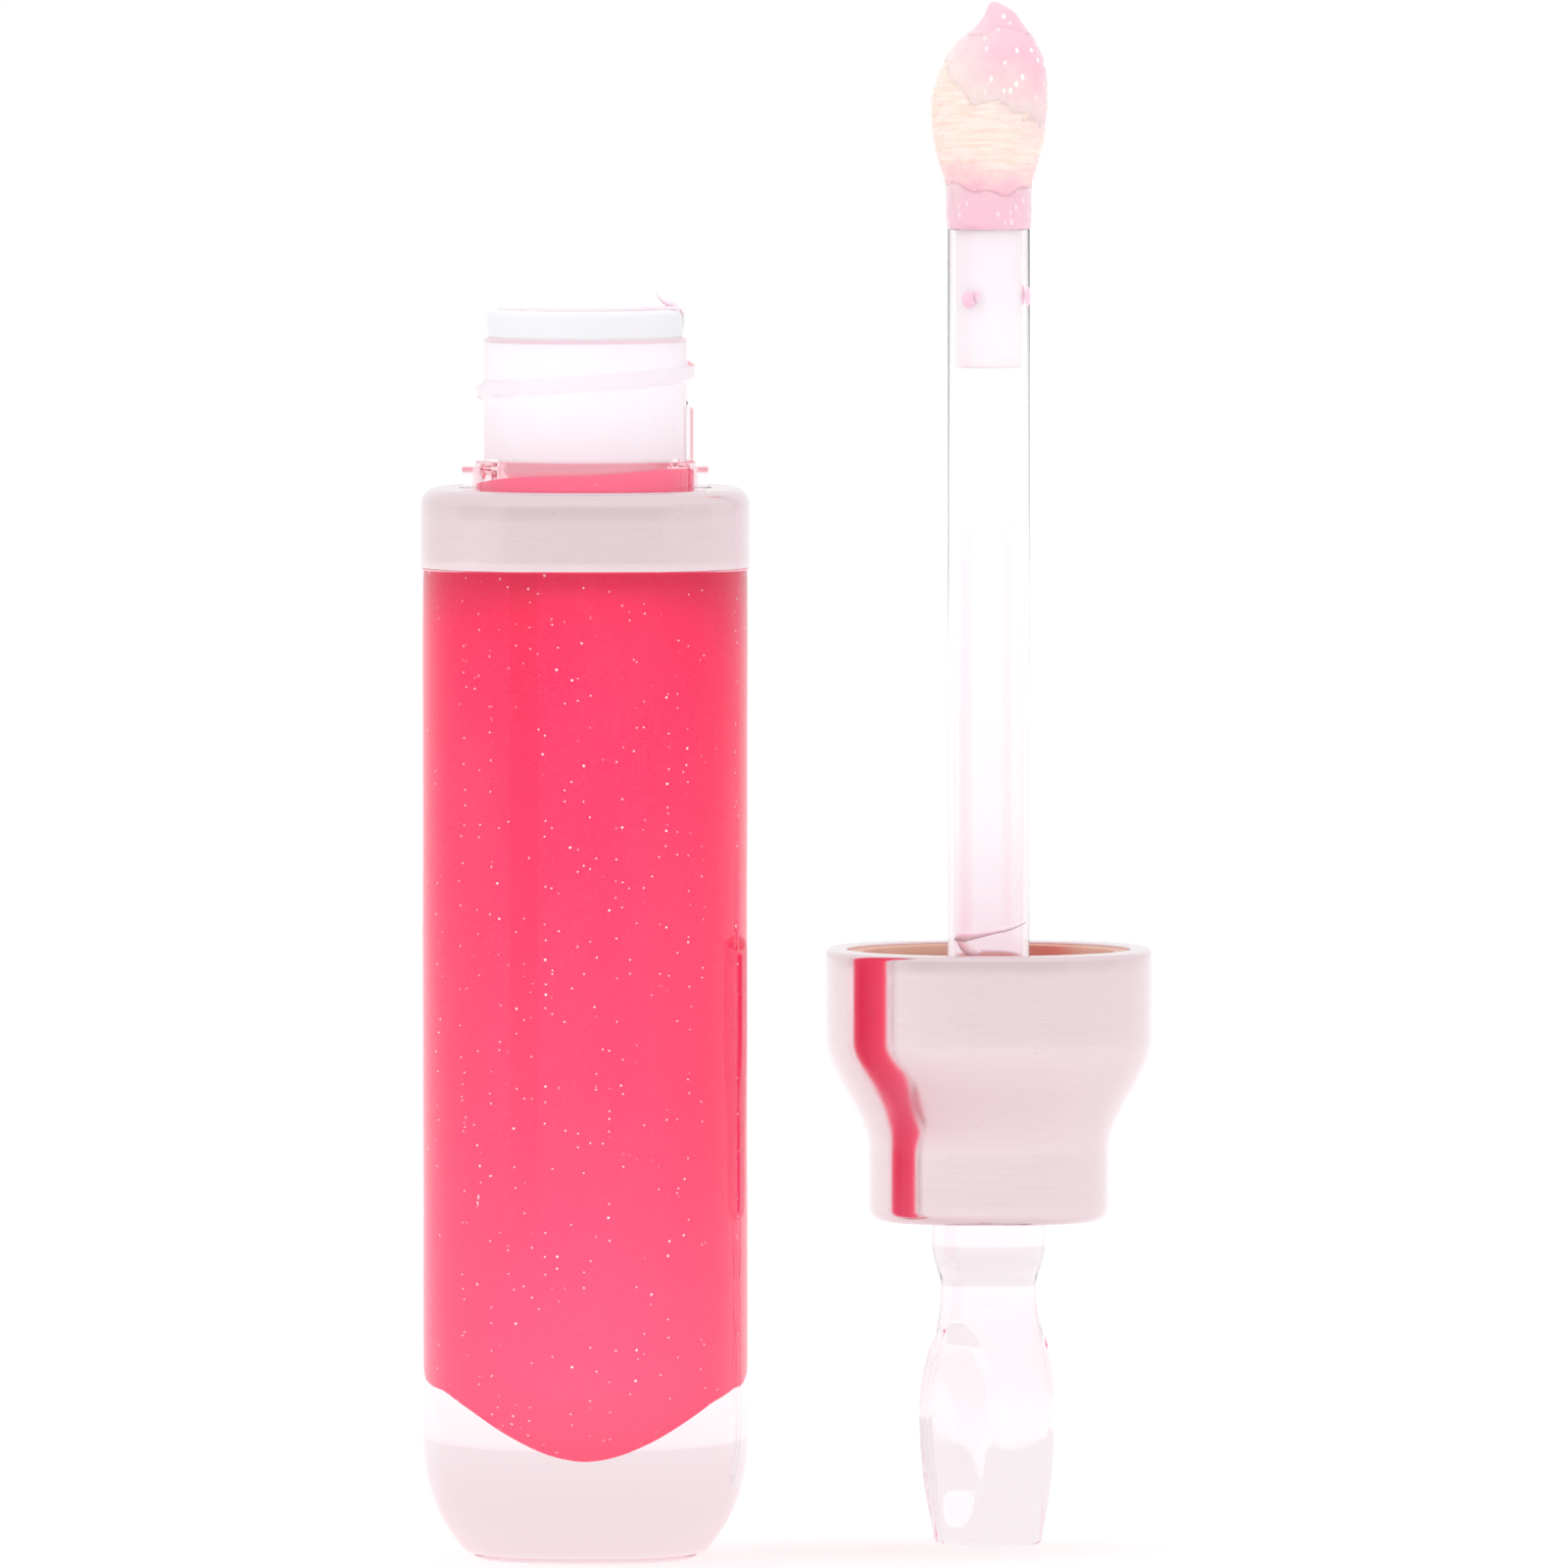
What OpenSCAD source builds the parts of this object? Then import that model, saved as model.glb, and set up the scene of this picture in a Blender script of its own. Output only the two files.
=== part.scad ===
// Square lip gloss tube, standing open beside its wand.
// Origin: centre of the bottle's base on the surface it stands on, +Z up, millimetres.
// The wand unit stands upside down on the end of its clear handle, right of the bottle and a little
// behind it.

/* [Bottle] */
// Width of the square bottle across its flats
bottle_w = 19.5; // [19:0.1:21]
// Squareness of the outline of bottle, collar and cap: 2 is round, 4 is nearly square
squareness = 2.6; // [2.4:0.1:4]
// Height of the clear body up to the collar
body_h = 58.8; // [56:0.2:60]
// Height over which the foot curves in
foot_h = 8.5; // [7:0.5:10]
// How far the foot curves in at the floor
foot_inset = 3; // [2:0.5:4]
// Thickness of clear plastic under the gloss
base_t = 6.1; // [5:0.1:7]
// Radius of the gloss chamber
chamber_r = 5.5; // [5.3:0.1:6.5]
// Depth of the chamber's bowl-shaped bottom
bowl_h = 5.2; // [4:0.2:6]

/* [Collar] */
// Height of the metallised collar
collar_h = 4.7; // [4:0.1:5.5]
// Wall of the collar
collar_t = 1; // [0.8:0.1:1.2]
// Radius of the collar's upper edge
collar_edge_r = 1; // [0.6:0.1:1.2]

/* [Neck] */
// Radius of the neck's root
neck_r = 6.02; // [5.9:0.02:6.1]
// Radius over the thread's crest, half of the 13 mm finish
thread_r = 6.5; // [6.4:0.05:6.55]
// Rise of the thread in one turn
thread_lead = 2.5; // [2.4:0.1:2.6]
// Height of the neck above the collar
neck_h = 8.9; // [8.8:0.1:9]
// Bore of the neck
neck_bore_r = 5.2; // [5.1:0.05:5.3]
// Height of the flange at the neck's root
flange_h = 1.6; // [1.4:0.1:1.8]

/* [Wiper] */
// Height of the wiper's rim above the neck
rim_h = 1.7; // [1.6:0.1:1.7]
// Radius of the wiper's rim
rim_r = 5.8; // [5.6:0.1:5.85]
// Radius of the wiper's mouth
mouth_r = 4.4; // [4.2:0.1:4.5]

/* [Wand] */
// Radius of the clear stem
stem_r = 2.46; // [2.4:0.02:2.5]
// Wall of the stem's tube
stem_wall = 0.4; // [0.35:0.05:0.5]
// Length of clear handle below the cap
handle_l = 19.4; // [19:0.1:19.6]
// Height of the cap shell
shell_h = 16.2; // [16.1:0.1:16.3]
// Width of the cap shell at its mouth
shell_w = 19.5; // [19.2:0.1:19.7]
// Width of the cap shell at its narrow end
shell_narrow_w = 14.4; // [14.2:0.1:14.8]
// Height of the stem's free end when the wand stands upside down
stem_top = 78.8; // [78.5:0.1:79]
// Length of the flocked applicator
pad_l = 11.7; // [11.5:0.1:11.8]
// Half width of the applicator at its widest
pad_half_w = 3.43; // [3.2:0.01:3.45]
// Distance of the standing wand's axis to the right of the bottle's
wand_x = 24; // [23.6:0.1:26]

/* [Hidden] */
$fn = 96;

// Facets round a lofted soft square
square_steps = 64;
// Overshoot that keeps cut faces apart
eps = 0.5;
// Sliding gap between nested round pieces
fit = 0.03;

// Colours
clear_pink = [0.96, 0.92, 0.93, 0.35];
rose_gold = [0.90, 0.80, 0.79];
gloss_pink = [1.0, 0.27, 0.45];
soft_white = [0.97, 0.97, 0.98];
flock_cream = [0.98, 0.88, 0.84];

// Heights on the bottle
collar_top = body_h + collar_h;
plate_z = collar_top - collar_t;
flange_top = collar_top + flange_h;
neck_top = collar_top + neck_h;
mouth_top = neck_top + rim_h;
chamber_top = body_h + 0.7;
throat_z = chamber_top + 2;
wiper_cone_top = flange_top + 0.1;
wiper_lip_z = flange_top - 3.1;
wiper_sleeve_r = neck_bore_r - fit;
wiper_lip_r = stem_r + 0.06;
wiper_wall = 0.6;

// Thread on the neck: centre line, section and length
thread_z = 69.2;
thread_start = 168;
thread_turn = 362;
thread_root_half = 0.62;
thread_crest_half = 0.26;
thread_bury = 0.35;

// Tabs that key the collar, and the rib that stops the cap
tab_out = 7.3;
tab_half = 1.2;
tab_top = collar_top + 1.25;
slot_gap = 0.1;
rib_out = 6.4;
rib_half = 0.35;
rib_top = 68.6;

// Wand unit, standing upside down
// Direction from bottle to wand. Turned over along it, the square cap lies an eighth of a turn off
// the bottle's flats, and screwing it on brings the two in line.
wand_dir = 22.5;
wand_y = wand_x * tan(wand_dir);
rim_z = handle_l + shell_h;
shell_end_t = 1.4;
s_start = 23.6;
s_end = 30.3;
end_edge_r = 0.8;
rim_edge_r = 0.35;
opening_r = 6.95;
bore_r = 6.75;
top_bore_r = 6.05;
ceiling_z = 24.25;
ceiling_t = 1.2;
bore_step_z = 26.7;
skirt_r = 8.5;
cone_top_z = 29.1;
cone_low_z = 25.3;
cone_low_r = 6.7;
skirt_top = rim_z - 0.15;
rim_gap = 0.15;
closed_k = rim_z + collar_top + rim_gap;
recess_r = 7.5;
recess_h = 1.6;
socket_z = 22.4;
narrow_bore_r = 6.3;
socket_boss_r = 4.2;
peg_r = 2.65;
peg_top = 21.8;
seal_gap = 0.05;
seal_t = 0.75;
plug_l = 8.5;
plug_flange_t = 0.2;
pad_z = stem_top + plug_flange_t;
pad_top = pad_z + pad_l;
pad_wide_z = 85.7;
pad_neck_z = 80.9;
pad_root_r = 2.42;
flock_t = 0.6;
core_top = pad_top - 0.8;
drop_z = pad_top + 0.05;
drop_h = 1.4;
fill_channel_r = 3.7;
fill_channel_tip_r = 2.2;
fill_channel_z = 7.1;
fill_channel_taper = 3.4;

// Smooth step from 0 to 1
function smooth(u) = let(t = max(0, min(1, u))) t * t * (3 - 2 * t);
// Value between a and b
function mix(a, b, u) = a + (b - a) * u;

// Distance from the centre to the outline of a soft square of half width w, in direction a
function soft_radius(w, a, n) = w * pow(pow(abs(cos(a)), n) + pow(abs(sin(a)), n), -1 / n);
// Soft square of half width w, at height z
function square_ring(w, z) = [
    for (i = [0:square_steps - 1])
        let(a = 360 * i / square_steps, r = soft_radius(w, a, squareness)) [r * cos(a), r * sin(a), z]
];
// Ellipse of half widths a and b, shifted cx along X, at height z
function oval_ring(a, b, cx, z, n) = [
    for (i = [0:n - 1]) [cx + a * cos(360 * i / n), b * sin(360 * i / n), z]
];

// Places a shape on the standing wand's axis
module at_wand() {
    translate([wand_x, wand_y, 0]) children();
}

// Closed solid through rings that lie one above the other
module loft(rings) {
    n = len(rings[0]);
    k = len(rings);
    pts = [for (r = rings) for (p = r) p];
    sides = [for (j = [0:k - 2]) for (i = [0:n - 1])
        let(a = j * n + i, b = j * n + (i + 1) % n) each [[a, a + n, b + n], [a, b + n, b]]];
    ends = [[for (i = [0:n - 1]) i], [for (i = [n - 1:-1:0]) (k - 1) * n + i]];
    polyhedron(points = pts, faces = concat(sides, ends));
}

// Closed ring-shaped solid through rings that go up outside and come back down inside
module sleeve(rings) {
    n = len(rings[0]);
    k = len(rings);
    pts = [for (r = rings) for (p = r) p];
    polyhedron(points = pts, faces = [for (j = [0:k - 1]) for (i = [0:n - 1])
        let(a = j * n + i, b = j * n + (i + 1) % n, c = ((j + 1) % k) * n)
            each [[a, c + i, c + (i + 1) % n], [a, c + (i + 1) % n, b]]]);
}

// Helical ridge from radius root to radius crest, its ends running out to nothing.
// half_root and half_crest are its half heights, z0 its height at 180 degrees.
module ridge(root, crest, z0, start, turn, half_root, half_crest, steps) {
    taper = 14;
    sections = [for (s = [0:steps])
        let(d = turn * s / steps, a = start + d, z = z0 + thread_lead * (a - 180) / 360,
            f = max(0.06, min(1, d / taper, (turn - d) / taper)), top = mix(root, crest, f))
            [for (q = [[root, -half_root * f], [top, -half_crest * f],
                       [top, half_crest * f], [root, half_root * f]])
                [q[0] * cos(a), q[0] * sin(a), z + q[1]]]];
    pts = [for (s = sections) for (p = s) p];
    walls = [for (s = [0:steps - 1]) for (i = [0:3])
        let(a = 4 * s + i, b = 4 * s + (i + 1) % 4) each [[a, a + 4, b + 4], [a, b + 4, b]]];
    last = 4 * steps;
    ends = [[0, 1, 2], [0, 2, 3], [last + 2, last + 1, last], [last + 3, last + 2, last]];
    faces = concat(walls, ends);
    polyhedron(points = pts, faces = crest > root ? [for (f = faces) [f[2], f[1], f[0]]] : faces);
}

// Outline of the bottle: a curved foot and straight walls
function body_half(z) = bottle_w / 2 - foot_inset * pow(max(0, 1 - z / foot_h), 2.8);

module bottle_outer() {
    foot = [for (u = [0, 0.05, 0.12, 0.2, 0.3, 0.42, 0.56, 0.75, 1]) foot_h * u];
    loft([for (z = concat(foot, [body_h])) square_ring(body_half(z), z)]);
}

// Gloss chamber, throat and neck bore, as one turned hollow grown outwards by g
module chamber(g, top) {
    rotate_extrude()
        union() {
            intersection() {
                translate([0, base_t + bowl_h]) scale([(chamber_r + g) / bowl_h, 1]) circle(r = bowl_h + g);
                square([chamber_r + bowl_h, base_t + bowl_h]);
            }
            translate([0, base_t + bowl_h]) square([chamber_r + g, chamber_top - base_t - bowl_h]);
            polygon([[0, chamber_top], [chamber_r + g, chamber_top],
                     [neck_bore_r + g, throat_z], [0, throat_z]]);
            translate([0, throat_z]) square([neck_bore_r + g, top - throat_z]);
        }
}

module tab() {
    translate([neck_r - 0.3, -tab_half, plate_z - eps])
        cube([tab_out - neck_r + 0.3, 2 * tab_half, tab_top - plate_z + eps]);
}

module bottle_body() {
    boss_half = bottle_w / 2 - collar_t - fit;
    color(clear_pink) difference() {
        union() {
            bottle_outer();
            loft([for (z = [body_h - eps, plate_z]) square_ring(boss_half, z)]);
            cylinder(r = thread_r + 0.04, h = flange_top);
            cylinder(r = neck_r, h = neck_top);
            ridge(neck_r - thread_bury, thread_r, thread_z, thread_start, thread_turn,
                  thread_root_half, thread_crest_half, 60);
            for (a = [0, 180]) rotate(a) tab();
            translate([neck_r - 0.3, -rib_half, flange_top - eps])
                cube([rib_out - neck_r + 0.3, 2 * rib_half, rib_top - flange_top + eps]);
        }
        chamber(0, neck_top + eps);
    }
}

module shoulder_collar() {
    half = bottle_w / 2;
    edge = [for (a = [0:15:90])
        [half - collar_edge_r * (1 - cos(a)), collar_top - collar_edge_r * (1 - sin(a))]];
    inner = half - collar_t;
    color(rose_gold) difference() {
        loft(concat([square_ring(half, body_h)],
                    [for (p = edge) square_ring(p[0], p[1])]));
        loft([for (z = [body_h - eps, plate_z]) square_ring(inner, z)]);
        cylinder(r = thread_r + 0.04 + slot_gap, h = collar_top + eps);
        for (a = [0, 180]) rotate(a)
            translate([neck_r, -tab_half - slot_gap, plate_z - eps])
                cube([tab_out + slot_gap - neck_r, 2 * (tab_half + slot_gap), collar_t + 2 * eps]);
    }
}

module wiper() {
    color(soft_white) rotate_extrude()
        polygon([[wiper_lip_r, wiper_lip_z], [wiper_lip_r + wiper_wall, wiper_lip_z],
                 [wiper_sleeve_r, wiper_cone_top], [wiper_sleeve_r, neck_top],
                 [rim_r, neck_top], [rim_r, mouth_top - 0.3], [rim_r - 0.3, mouth_top],
                 [mouth_r + 0.4, mouth_top], [mouth_r, mouth_top - 0.4],
                 [mouth_r, wiper_cone_top + 0.2], [wiper_lip_r, wiper_lip_z + 0.5]]);
}

// The gloss, with the channel that the wand needs when the tube is closed
module gloss_fill() {
    tail_gap = 0.15;
    fill_top = flange_top - 0.5;
    color(gloss_pink) difference() {
        chamber(-0.02, fill_top);
        rotate_extrude()
            polygon([[0, fill_channel_z], [fill_channel_tip_r, fill_channel_z],
                     [fill_channel_r, fill_channel_z + fill_channel_taper],
                     [fill_channel_r, fill_top + eps], [0, fill_top + eps]]);
        translate([0, 0, wiper_lip_z])
            cylinder(r1 = wiper_lip_r + wiper_wall + tail_gap, r2 = wiper_sleeve_r + tail_gap,
                     h = wiper_cone_top - wiper_lip_z);
    }
}

// Smear of gloss left on the wiper's rim, with its pulled-up curl
module mouth_smear() {
    smear_t = 0.18;
    color(gloss_pink) {
        difference() {
            translate([0, 0, mouth_top]) cylinder(r = rim_r - 0.45, h = smear_t);
            translate([0, 0, mouth_top - eps]) cylinder(r = mouth_r + 0.45, h = smear_t + 2 * eps);
            translate([-2 * rim_r, 0, mouth_top - eps]) cube([4 * rim_r, 2 * rim_r, smear_t + 2 * eps]);
        }
        translate([(rim_r + mouth_r) / 2, -0.6, mouth_top + smear_t])
            cylinder(r1 = 0.42, r2 = 0.08, h = 0.9);
    }
}

// Half width of the handle's plain body at height z
function handle_half(z) = z < 8 ? mix(3.05, 3.85, sin(90 * z / 8))
    : z < 15.4 ? mix(3.85, 2.85, smooth((z - 8) / 7.4)) : mix(2.85, 3.4, smooth((z - 15.4) / 2.4));
// Leaf-shaped scoops, front left and right: direction at the foot, how far it turns on the way to the
// apex, and half width at the widest, all in degrees
LEAVES = [[222, 12, 46], [12, 6, 36]];
leaf_apex = 13.8;
leaf_wide_z = 8;
leaf_depth = 1.1;
leaf_lip = 0.3;
function leaf_half(z, w) = w * (z < leaf_wide_z ? mix(0.75, 1, sin(90 * z / leaf_wide_z))
    : 1 - pow(min(1, (z - leaf_wide_z) / (leaf_apex - leaf_wide_z)), 3));
function leaf_fade(z) = smooth((leaf_apex - z) / 2.4) * mix(0.45, 1, smooth(z / 4));
function wrapped(a) = a - 360 * round(a / 360);
// Radial change that one leaf makes in direction a at height z
function leaf_cut(a, z, leaf) = z >= leaf_apex ? 0
    : let(d = abs(wrapped(a - leaf[0] - leaf[1] * smooth((z - 6) / 8))),
          w = max(0.5, leaf_half(z, leaf[2])), u = d / w)
        leaf_fade(z) * (u < 1 ? leaf_lip * pow(u, 6) - leaf_depth * (1 - u * u)
                              : leaf_lip * exp(-pow((d - w) / 10, 2)));
function handle_radius(a, z) = soft_radius(handle_half(z), a, 2.5)
    + leaf_cut(a, z, LEAVES[0]) + leaf_cut(a, z, LEAVES[1]);

module handle() {
    steps = 60;
    levels = [for (z = [0, 0.4, 1, 2, 3, 4, 5, 6, 7, 8, 9, 10, 11, 11.8, 12.5, 13.1, 13.5, 13.8, 14.6,
                        15.4, 16.2, 17, 17.8]) z * handle_l / 19];
    color(clear_pink) at_wand() {
        loft([for (z = concat(levels, [handle_l])) [for (i = [0:steps - 1])
            let(a = 360 * i / steps, r = handle_radius(a, z) - (z < 0.1 ? 0.25 : 0))
                [r * cos(a), r * sin(a), z]]]);
        translate([0, 0, handle_l - eps]) cylinder(r = peg_r, h = peg_top - handle_l + eps);
    }
}

// Half width of the cap shell at height z above the wand's standing end
function shell_half(z) = mix(shell_narrow_w, shell_w, smooth((z - s_start) / (s_end - s_start))) / 2;

module cap_shell() {
    low = [for (a = [0:18:90]) [end_edge_r * (1 - sin(a)), handle_l + end_edge_r * (1 - cos(a))]];
    curve = [for (u = [0:0.1:1]) mix(s_start, s_end, u)];
    high = [for (a = [0:30:90]) [rim_edge_r * (1 - cos(a)), rim_z - rim_edge_r * (1 - sin(a))]];
    rings = concat([for (p = low) [shell_half(p[1]) - p[0], p[1]]],
                   [for (z = curve) [shell_half(z), z]],
                   [for (p = high) [shell_half(p[1]) - p[0], p[1]]]);
    color(rose_gold) at_wand() difference() {
        loft([for (p = rings) square_ring(p[0], p[1])]);
        cylinder(r = peg_r + fit, h = rim_z);
        translate([0, 0, handle_l + shell_end_t]) cylinder(r = narrow_bore_r, h = rim_z);
        translate([0, 0, cone_low_z - 0.6]) cylinder(r = cone_low_r, h = rim_z);
        translate([0, 0, cone_low_z]) cylinder(r1 = cone_low_r, r2 = skirt_r, h = cone_top_z - cone_low_z);
        translate([0, 0, cone_top_z]) cylinder(r = skirt_r, h = rim_z);
    }
}

// Carries a shape from its place on the closed bottle to the standing wand
module from_closed() {
    translate([0, 0, closed_k]) rotate([0, 180, 90]) children();
}

// Threaded insert of the cap, with its ceiling and the stem's socket
module inner_cap() {
    color(rose_gold) at_wand() {
        difference() {
            union() {
                translate([0, 0, cone_top_z]) cylinder(r = skirt_r - fit, h = skirt_top - cone_top_z);
                translate([0, 0, cone_low_z])
                    cylinder(r1 = cone_low_r - fit, r2 = skirt_r - fit, h = cone_top_z - cone_low_z);
                translate([0, 0, cone_low_z - 0.6]) cylinder(r = cone_low_r - fit, h = 0.6);
                translate([0, 0, ceiling_z - ceiling_t])
                    cylinder(r = narrow_bore_r - fit, h = ceiling_t + 0.5);
                translate([0, 0, peg_top + fit]) cylinder(r = socket_boss_r, h = ceiling_z - peg_top - fit);
            }
            translate([0, 0, bore_step_z]) cylinder(r = bore_r, h = rim_z);
            translate([0, 0, ceiling_z]) cylinder(r = top_bore_r, h = rim_z);
            translate([0, 0, rim_z - recess_h - 0.6]) cylinder(r1 = bore_r, r2 = opening_r, h = 0.6);
            translate([0, 0, socket_z]) cylinder(r = stem_r + fit, h = rim_z);
            translate([0, 0, rim_z - recess_h]) cylinder(r = recess_r, h = recess_h + eps);
        }
        from_closed() ridge(bore_r + thread_bury, 6.2, thread_z - thread_lead / 2, 200, 265, 0.44, 0.2, 44);
    }
}

// Loose gasket that the closed cap presses on the wiper's rim
module seal_ring() {
    color(soft_white) at_wand() translate([0, 0, ceiling_z + seal_gap]) difference() {
        cylinder(r = top_bore_r - 0.1, h = seal_t);
        translate([0, 0, -eps]) cylinder(r = stem_r + 0.16, h = seal_t + 2 * eps);
    }
}

module stem() {
    color(clear_pink) at_wand() translate([0, 0, socket_z]) difference() {
        cylinder(r = stem_r, h = stem_top - socket_z);
        translate([0, 0, -eps]) cylinder(r = stem_r - stem_wall, h = stem_top - socket_z + 2 * eps);
    }
}

module tip_plug() {
    color(soft_white) at_wand() {
        translate([0, 0, stem_top - plug_l])
            cylinder(r = stem_r - stem_wall - fit, h = plug_l + plug_flange_t);
        translate([0, 0, stem_top]) cylinder(r = stem_r - 0.04, h = plug_flange_t);
    }
}

// Half width of the flocked applicator at height z, its flattening and its lean
function pad_half(z) = z < pad_neck_z ? pad_root_r
    : z < pad_wide_z ? mix(pad_root_r, pad_half_w, sin(90 * (z - pad_neck_z) / (pad_wide_z - pad_neck_z)))
    : pad_half_w * sqrt(1 - pow((z - pad_wide_z) / (pad_top + 0.25 - pad_wide_z), 2));
function pad_flat(z) = mix(1, 0.72, smooth((z - pad_neck_z) / (pad_wide_z - pad_neck_z)));
function pad_shift(z) = 0.7 * pow(max(0, (z - pad_wide_z) / (pad_top - pad_wide_z)), 2);
// Outline of the applicator at height z, grown outwards by g
function pad_ring(z, g) = oval_ring(pad_half(z) + g, pad_half(z) * pad_flat(z) + g, pad_shift(z), z, 40);
// Heights from the root's end to z1, closer together towards the top
function pad_levels(z1, n) = concat([pad_z], [for (i = [0:n]) mix(pad_neck_z, z1, sin(90 * i / n))]);

module tip_core() {
    color(soft_white) at_wand()
        loft([for (z = pad_levels(core_top, 12)) pad_ring(z, -flock_t)]);
}

module flock_pad() {
    color(flock_cream) at_wand() difference() {
        loft([for (z = pad_levels(pad_top, 16)) pad_ring(z, 0)]);
        loft([for (z = concat([pad_z - eps], pad_levels(core_top + fit, 12))) pad_ring(z, fit - flock_t)]);
    }
}

// Gel held on the applicator: a band at its root and a film over its end
module gloss_coat() {
    levels = [for (z = pad_levels(pad_top, 16)) if (z > pad_wide_z + 1.6 && z < pad_top - 0.05) z];
    color(gloss_pink) at_wand() {
        translate([0, 0, pad_z + 0.05]) difference() {
            cylinder(r = pad_root_r + 0.18, h = pad_neck_z - pad_z - 0.15);
            translate([0, 0, -eps]) cylinder(r = pad_root_r + fit, h = pad_neck_z - pad_z + eps);
        }
        sleeve(concat([for (z = levels) pad_ring(z, 0.16)],
                      [for (i = [len(levels) - 1:-1:0]) pad_ring(levels[i], fit)]));
    }
}

// Peak of gel drawn up at the applicator's end
module gloss_drop() {
    color(gloss_pink) at_wand()
        loft([for (u = [0, 0.2, 0.4, 0.6, 0.8, 0.92, 1])
            let(half = max(0.15, 1.15 * pow(1 - pow(u, 1.8), 0.75)))
                oval_ring(half, 0.8 * half, 0.66 - 0.33 * u * u, drop_z + drop_h * u, 24)]);
}

bottle_body();
shoulder_collar();
wiper();
gloss_fill();
mouth_smear();
handle();
cap_shell();
inner_cap();
seal_ring();
stem();
tip_plug();
tip_core();
flock_pad();
gloss_coat();
gloss_drop();
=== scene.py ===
"""Lip gloss tube standing open beside its wand: the looks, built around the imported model."""
import math
import random

import bpy
import numpy as np
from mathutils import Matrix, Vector, noise


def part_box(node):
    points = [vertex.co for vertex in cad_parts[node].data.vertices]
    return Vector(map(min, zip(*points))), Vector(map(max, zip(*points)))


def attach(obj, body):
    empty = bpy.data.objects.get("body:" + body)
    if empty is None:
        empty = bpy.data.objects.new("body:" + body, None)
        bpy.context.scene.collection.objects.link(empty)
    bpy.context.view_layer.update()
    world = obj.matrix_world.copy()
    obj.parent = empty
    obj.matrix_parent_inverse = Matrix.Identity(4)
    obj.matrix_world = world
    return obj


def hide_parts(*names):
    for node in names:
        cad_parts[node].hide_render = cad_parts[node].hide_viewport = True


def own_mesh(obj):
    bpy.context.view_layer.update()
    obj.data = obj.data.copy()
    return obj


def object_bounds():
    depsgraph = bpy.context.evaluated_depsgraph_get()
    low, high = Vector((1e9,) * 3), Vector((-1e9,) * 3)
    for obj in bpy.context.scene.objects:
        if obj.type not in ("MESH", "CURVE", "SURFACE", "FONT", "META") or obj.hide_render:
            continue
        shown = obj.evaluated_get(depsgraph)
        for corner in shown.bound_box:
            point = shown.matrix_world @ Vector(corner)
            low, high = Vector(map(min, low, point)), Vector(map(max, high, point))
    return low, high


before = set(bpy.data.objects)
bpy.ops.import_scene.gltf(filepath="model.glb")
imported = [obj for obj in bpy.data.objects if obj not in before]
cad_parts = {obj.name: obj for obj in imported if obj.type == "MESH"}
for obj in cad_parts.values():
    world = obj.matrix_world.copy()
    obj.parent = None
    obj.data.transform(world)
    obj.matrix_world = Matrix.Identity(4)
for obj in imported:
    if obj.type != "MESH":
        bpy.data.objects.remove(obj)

CAD_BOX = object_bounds()
MM = 0.001
TURN = 2 * math.pi


# Places and sizes, in millimetres. What the frame knows is read from it.

def span(node):
    """Lowest and highest corner of a CAD node at rest, in millimetres."""
    low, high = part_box(node)
    return np.array(low) / MM, np.array(high) / MM


HALF_W = span("bottle_body")[1][1]
NECK_TOP = span("bottle_body")[1][2]
COLLAR_Z, COLLAR_TOP = span("shoulder_collar")[0][2], span("shoulder_collar")[1][2]
WIPER_LIP_Z, MOUTH_TOP = span("wiper")[0][2], span("wiper")[1][2]
RIM_R = span("wiper")[1][0]
GLOSS_Z = span("gloss_fill")[0][2]
CHAMBER_R = span("gloss_fill")[1][0]
SHELL_Z, RIM_Z = span("cap_shell")[0][2], span("cap_shell")[1][2]
SHELL_HALF = (span("cap_shell")[1][0] - span("cap_shell")[0][0]) / 2
WAND = WAND_X, WAND_Y = ((span("cap_shell")[0] + span("cap_shell")[1]) / 2)[:2]
STEM_Z, STEM_TOP = span("stem")[0][2], span("stem")[1][2]
STEM_R = (span("stem")[1][0] - span("stem")[0][0]) / 2
PLUG_Z, PAD_Z = span("tip_plug")[0][2], span("tip_plug")[1][2]
PAD_TOP = span("flock_pad")[1][2]
SEAL_Z, SEAL_TOP = span("seal_ring")[0][2], span("seal_ring")[1][2]
DROP_Z = span("gloss_drop")[0][2]
PEG_TOP = span("handle")[1][2]

# Bottle
FOOT_H, FOOT_INSET = 8.5, 3.0
BOWL_H = 5.2
CHAMBER_TOP = COLLAR_Z + 0.7
BORE_R = 5.2
NECK_R, THREAD_R, FLANGE_R = 6.02, 6.5, 6.54
FLANGE_TOP = COLLAR_TOP + 1.6
PLATE_Z = COLLAR_TOP - 1.0
THREAD_Z, THREAD_LEAD = 69.2, 2.5
THREAD_START, THREAD_TURN, THREAD_TAPER = 168.0, 362.0, 14.0
THREAD_ROOT_HALF, THREAD_CREST_HALF = 0.62, 0.3
TAB_OUT, TAB_HALF, TAB_TOP = 7.3, 1.2, COLLAR_TOP + 1.25
RIB_OUT, RIB_HALF, RIB_TOP = 6.4, 0.35, 68.6
SLOT_GAP = 0.1

# Wiper
MOUTH_R = 4.4
WIPER_LIP_R, WIPER_WALL = STEM_R + 0.06, 0.6
WIPER_CONE_TOP = FLANGE_TOP + 0.1

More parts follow.
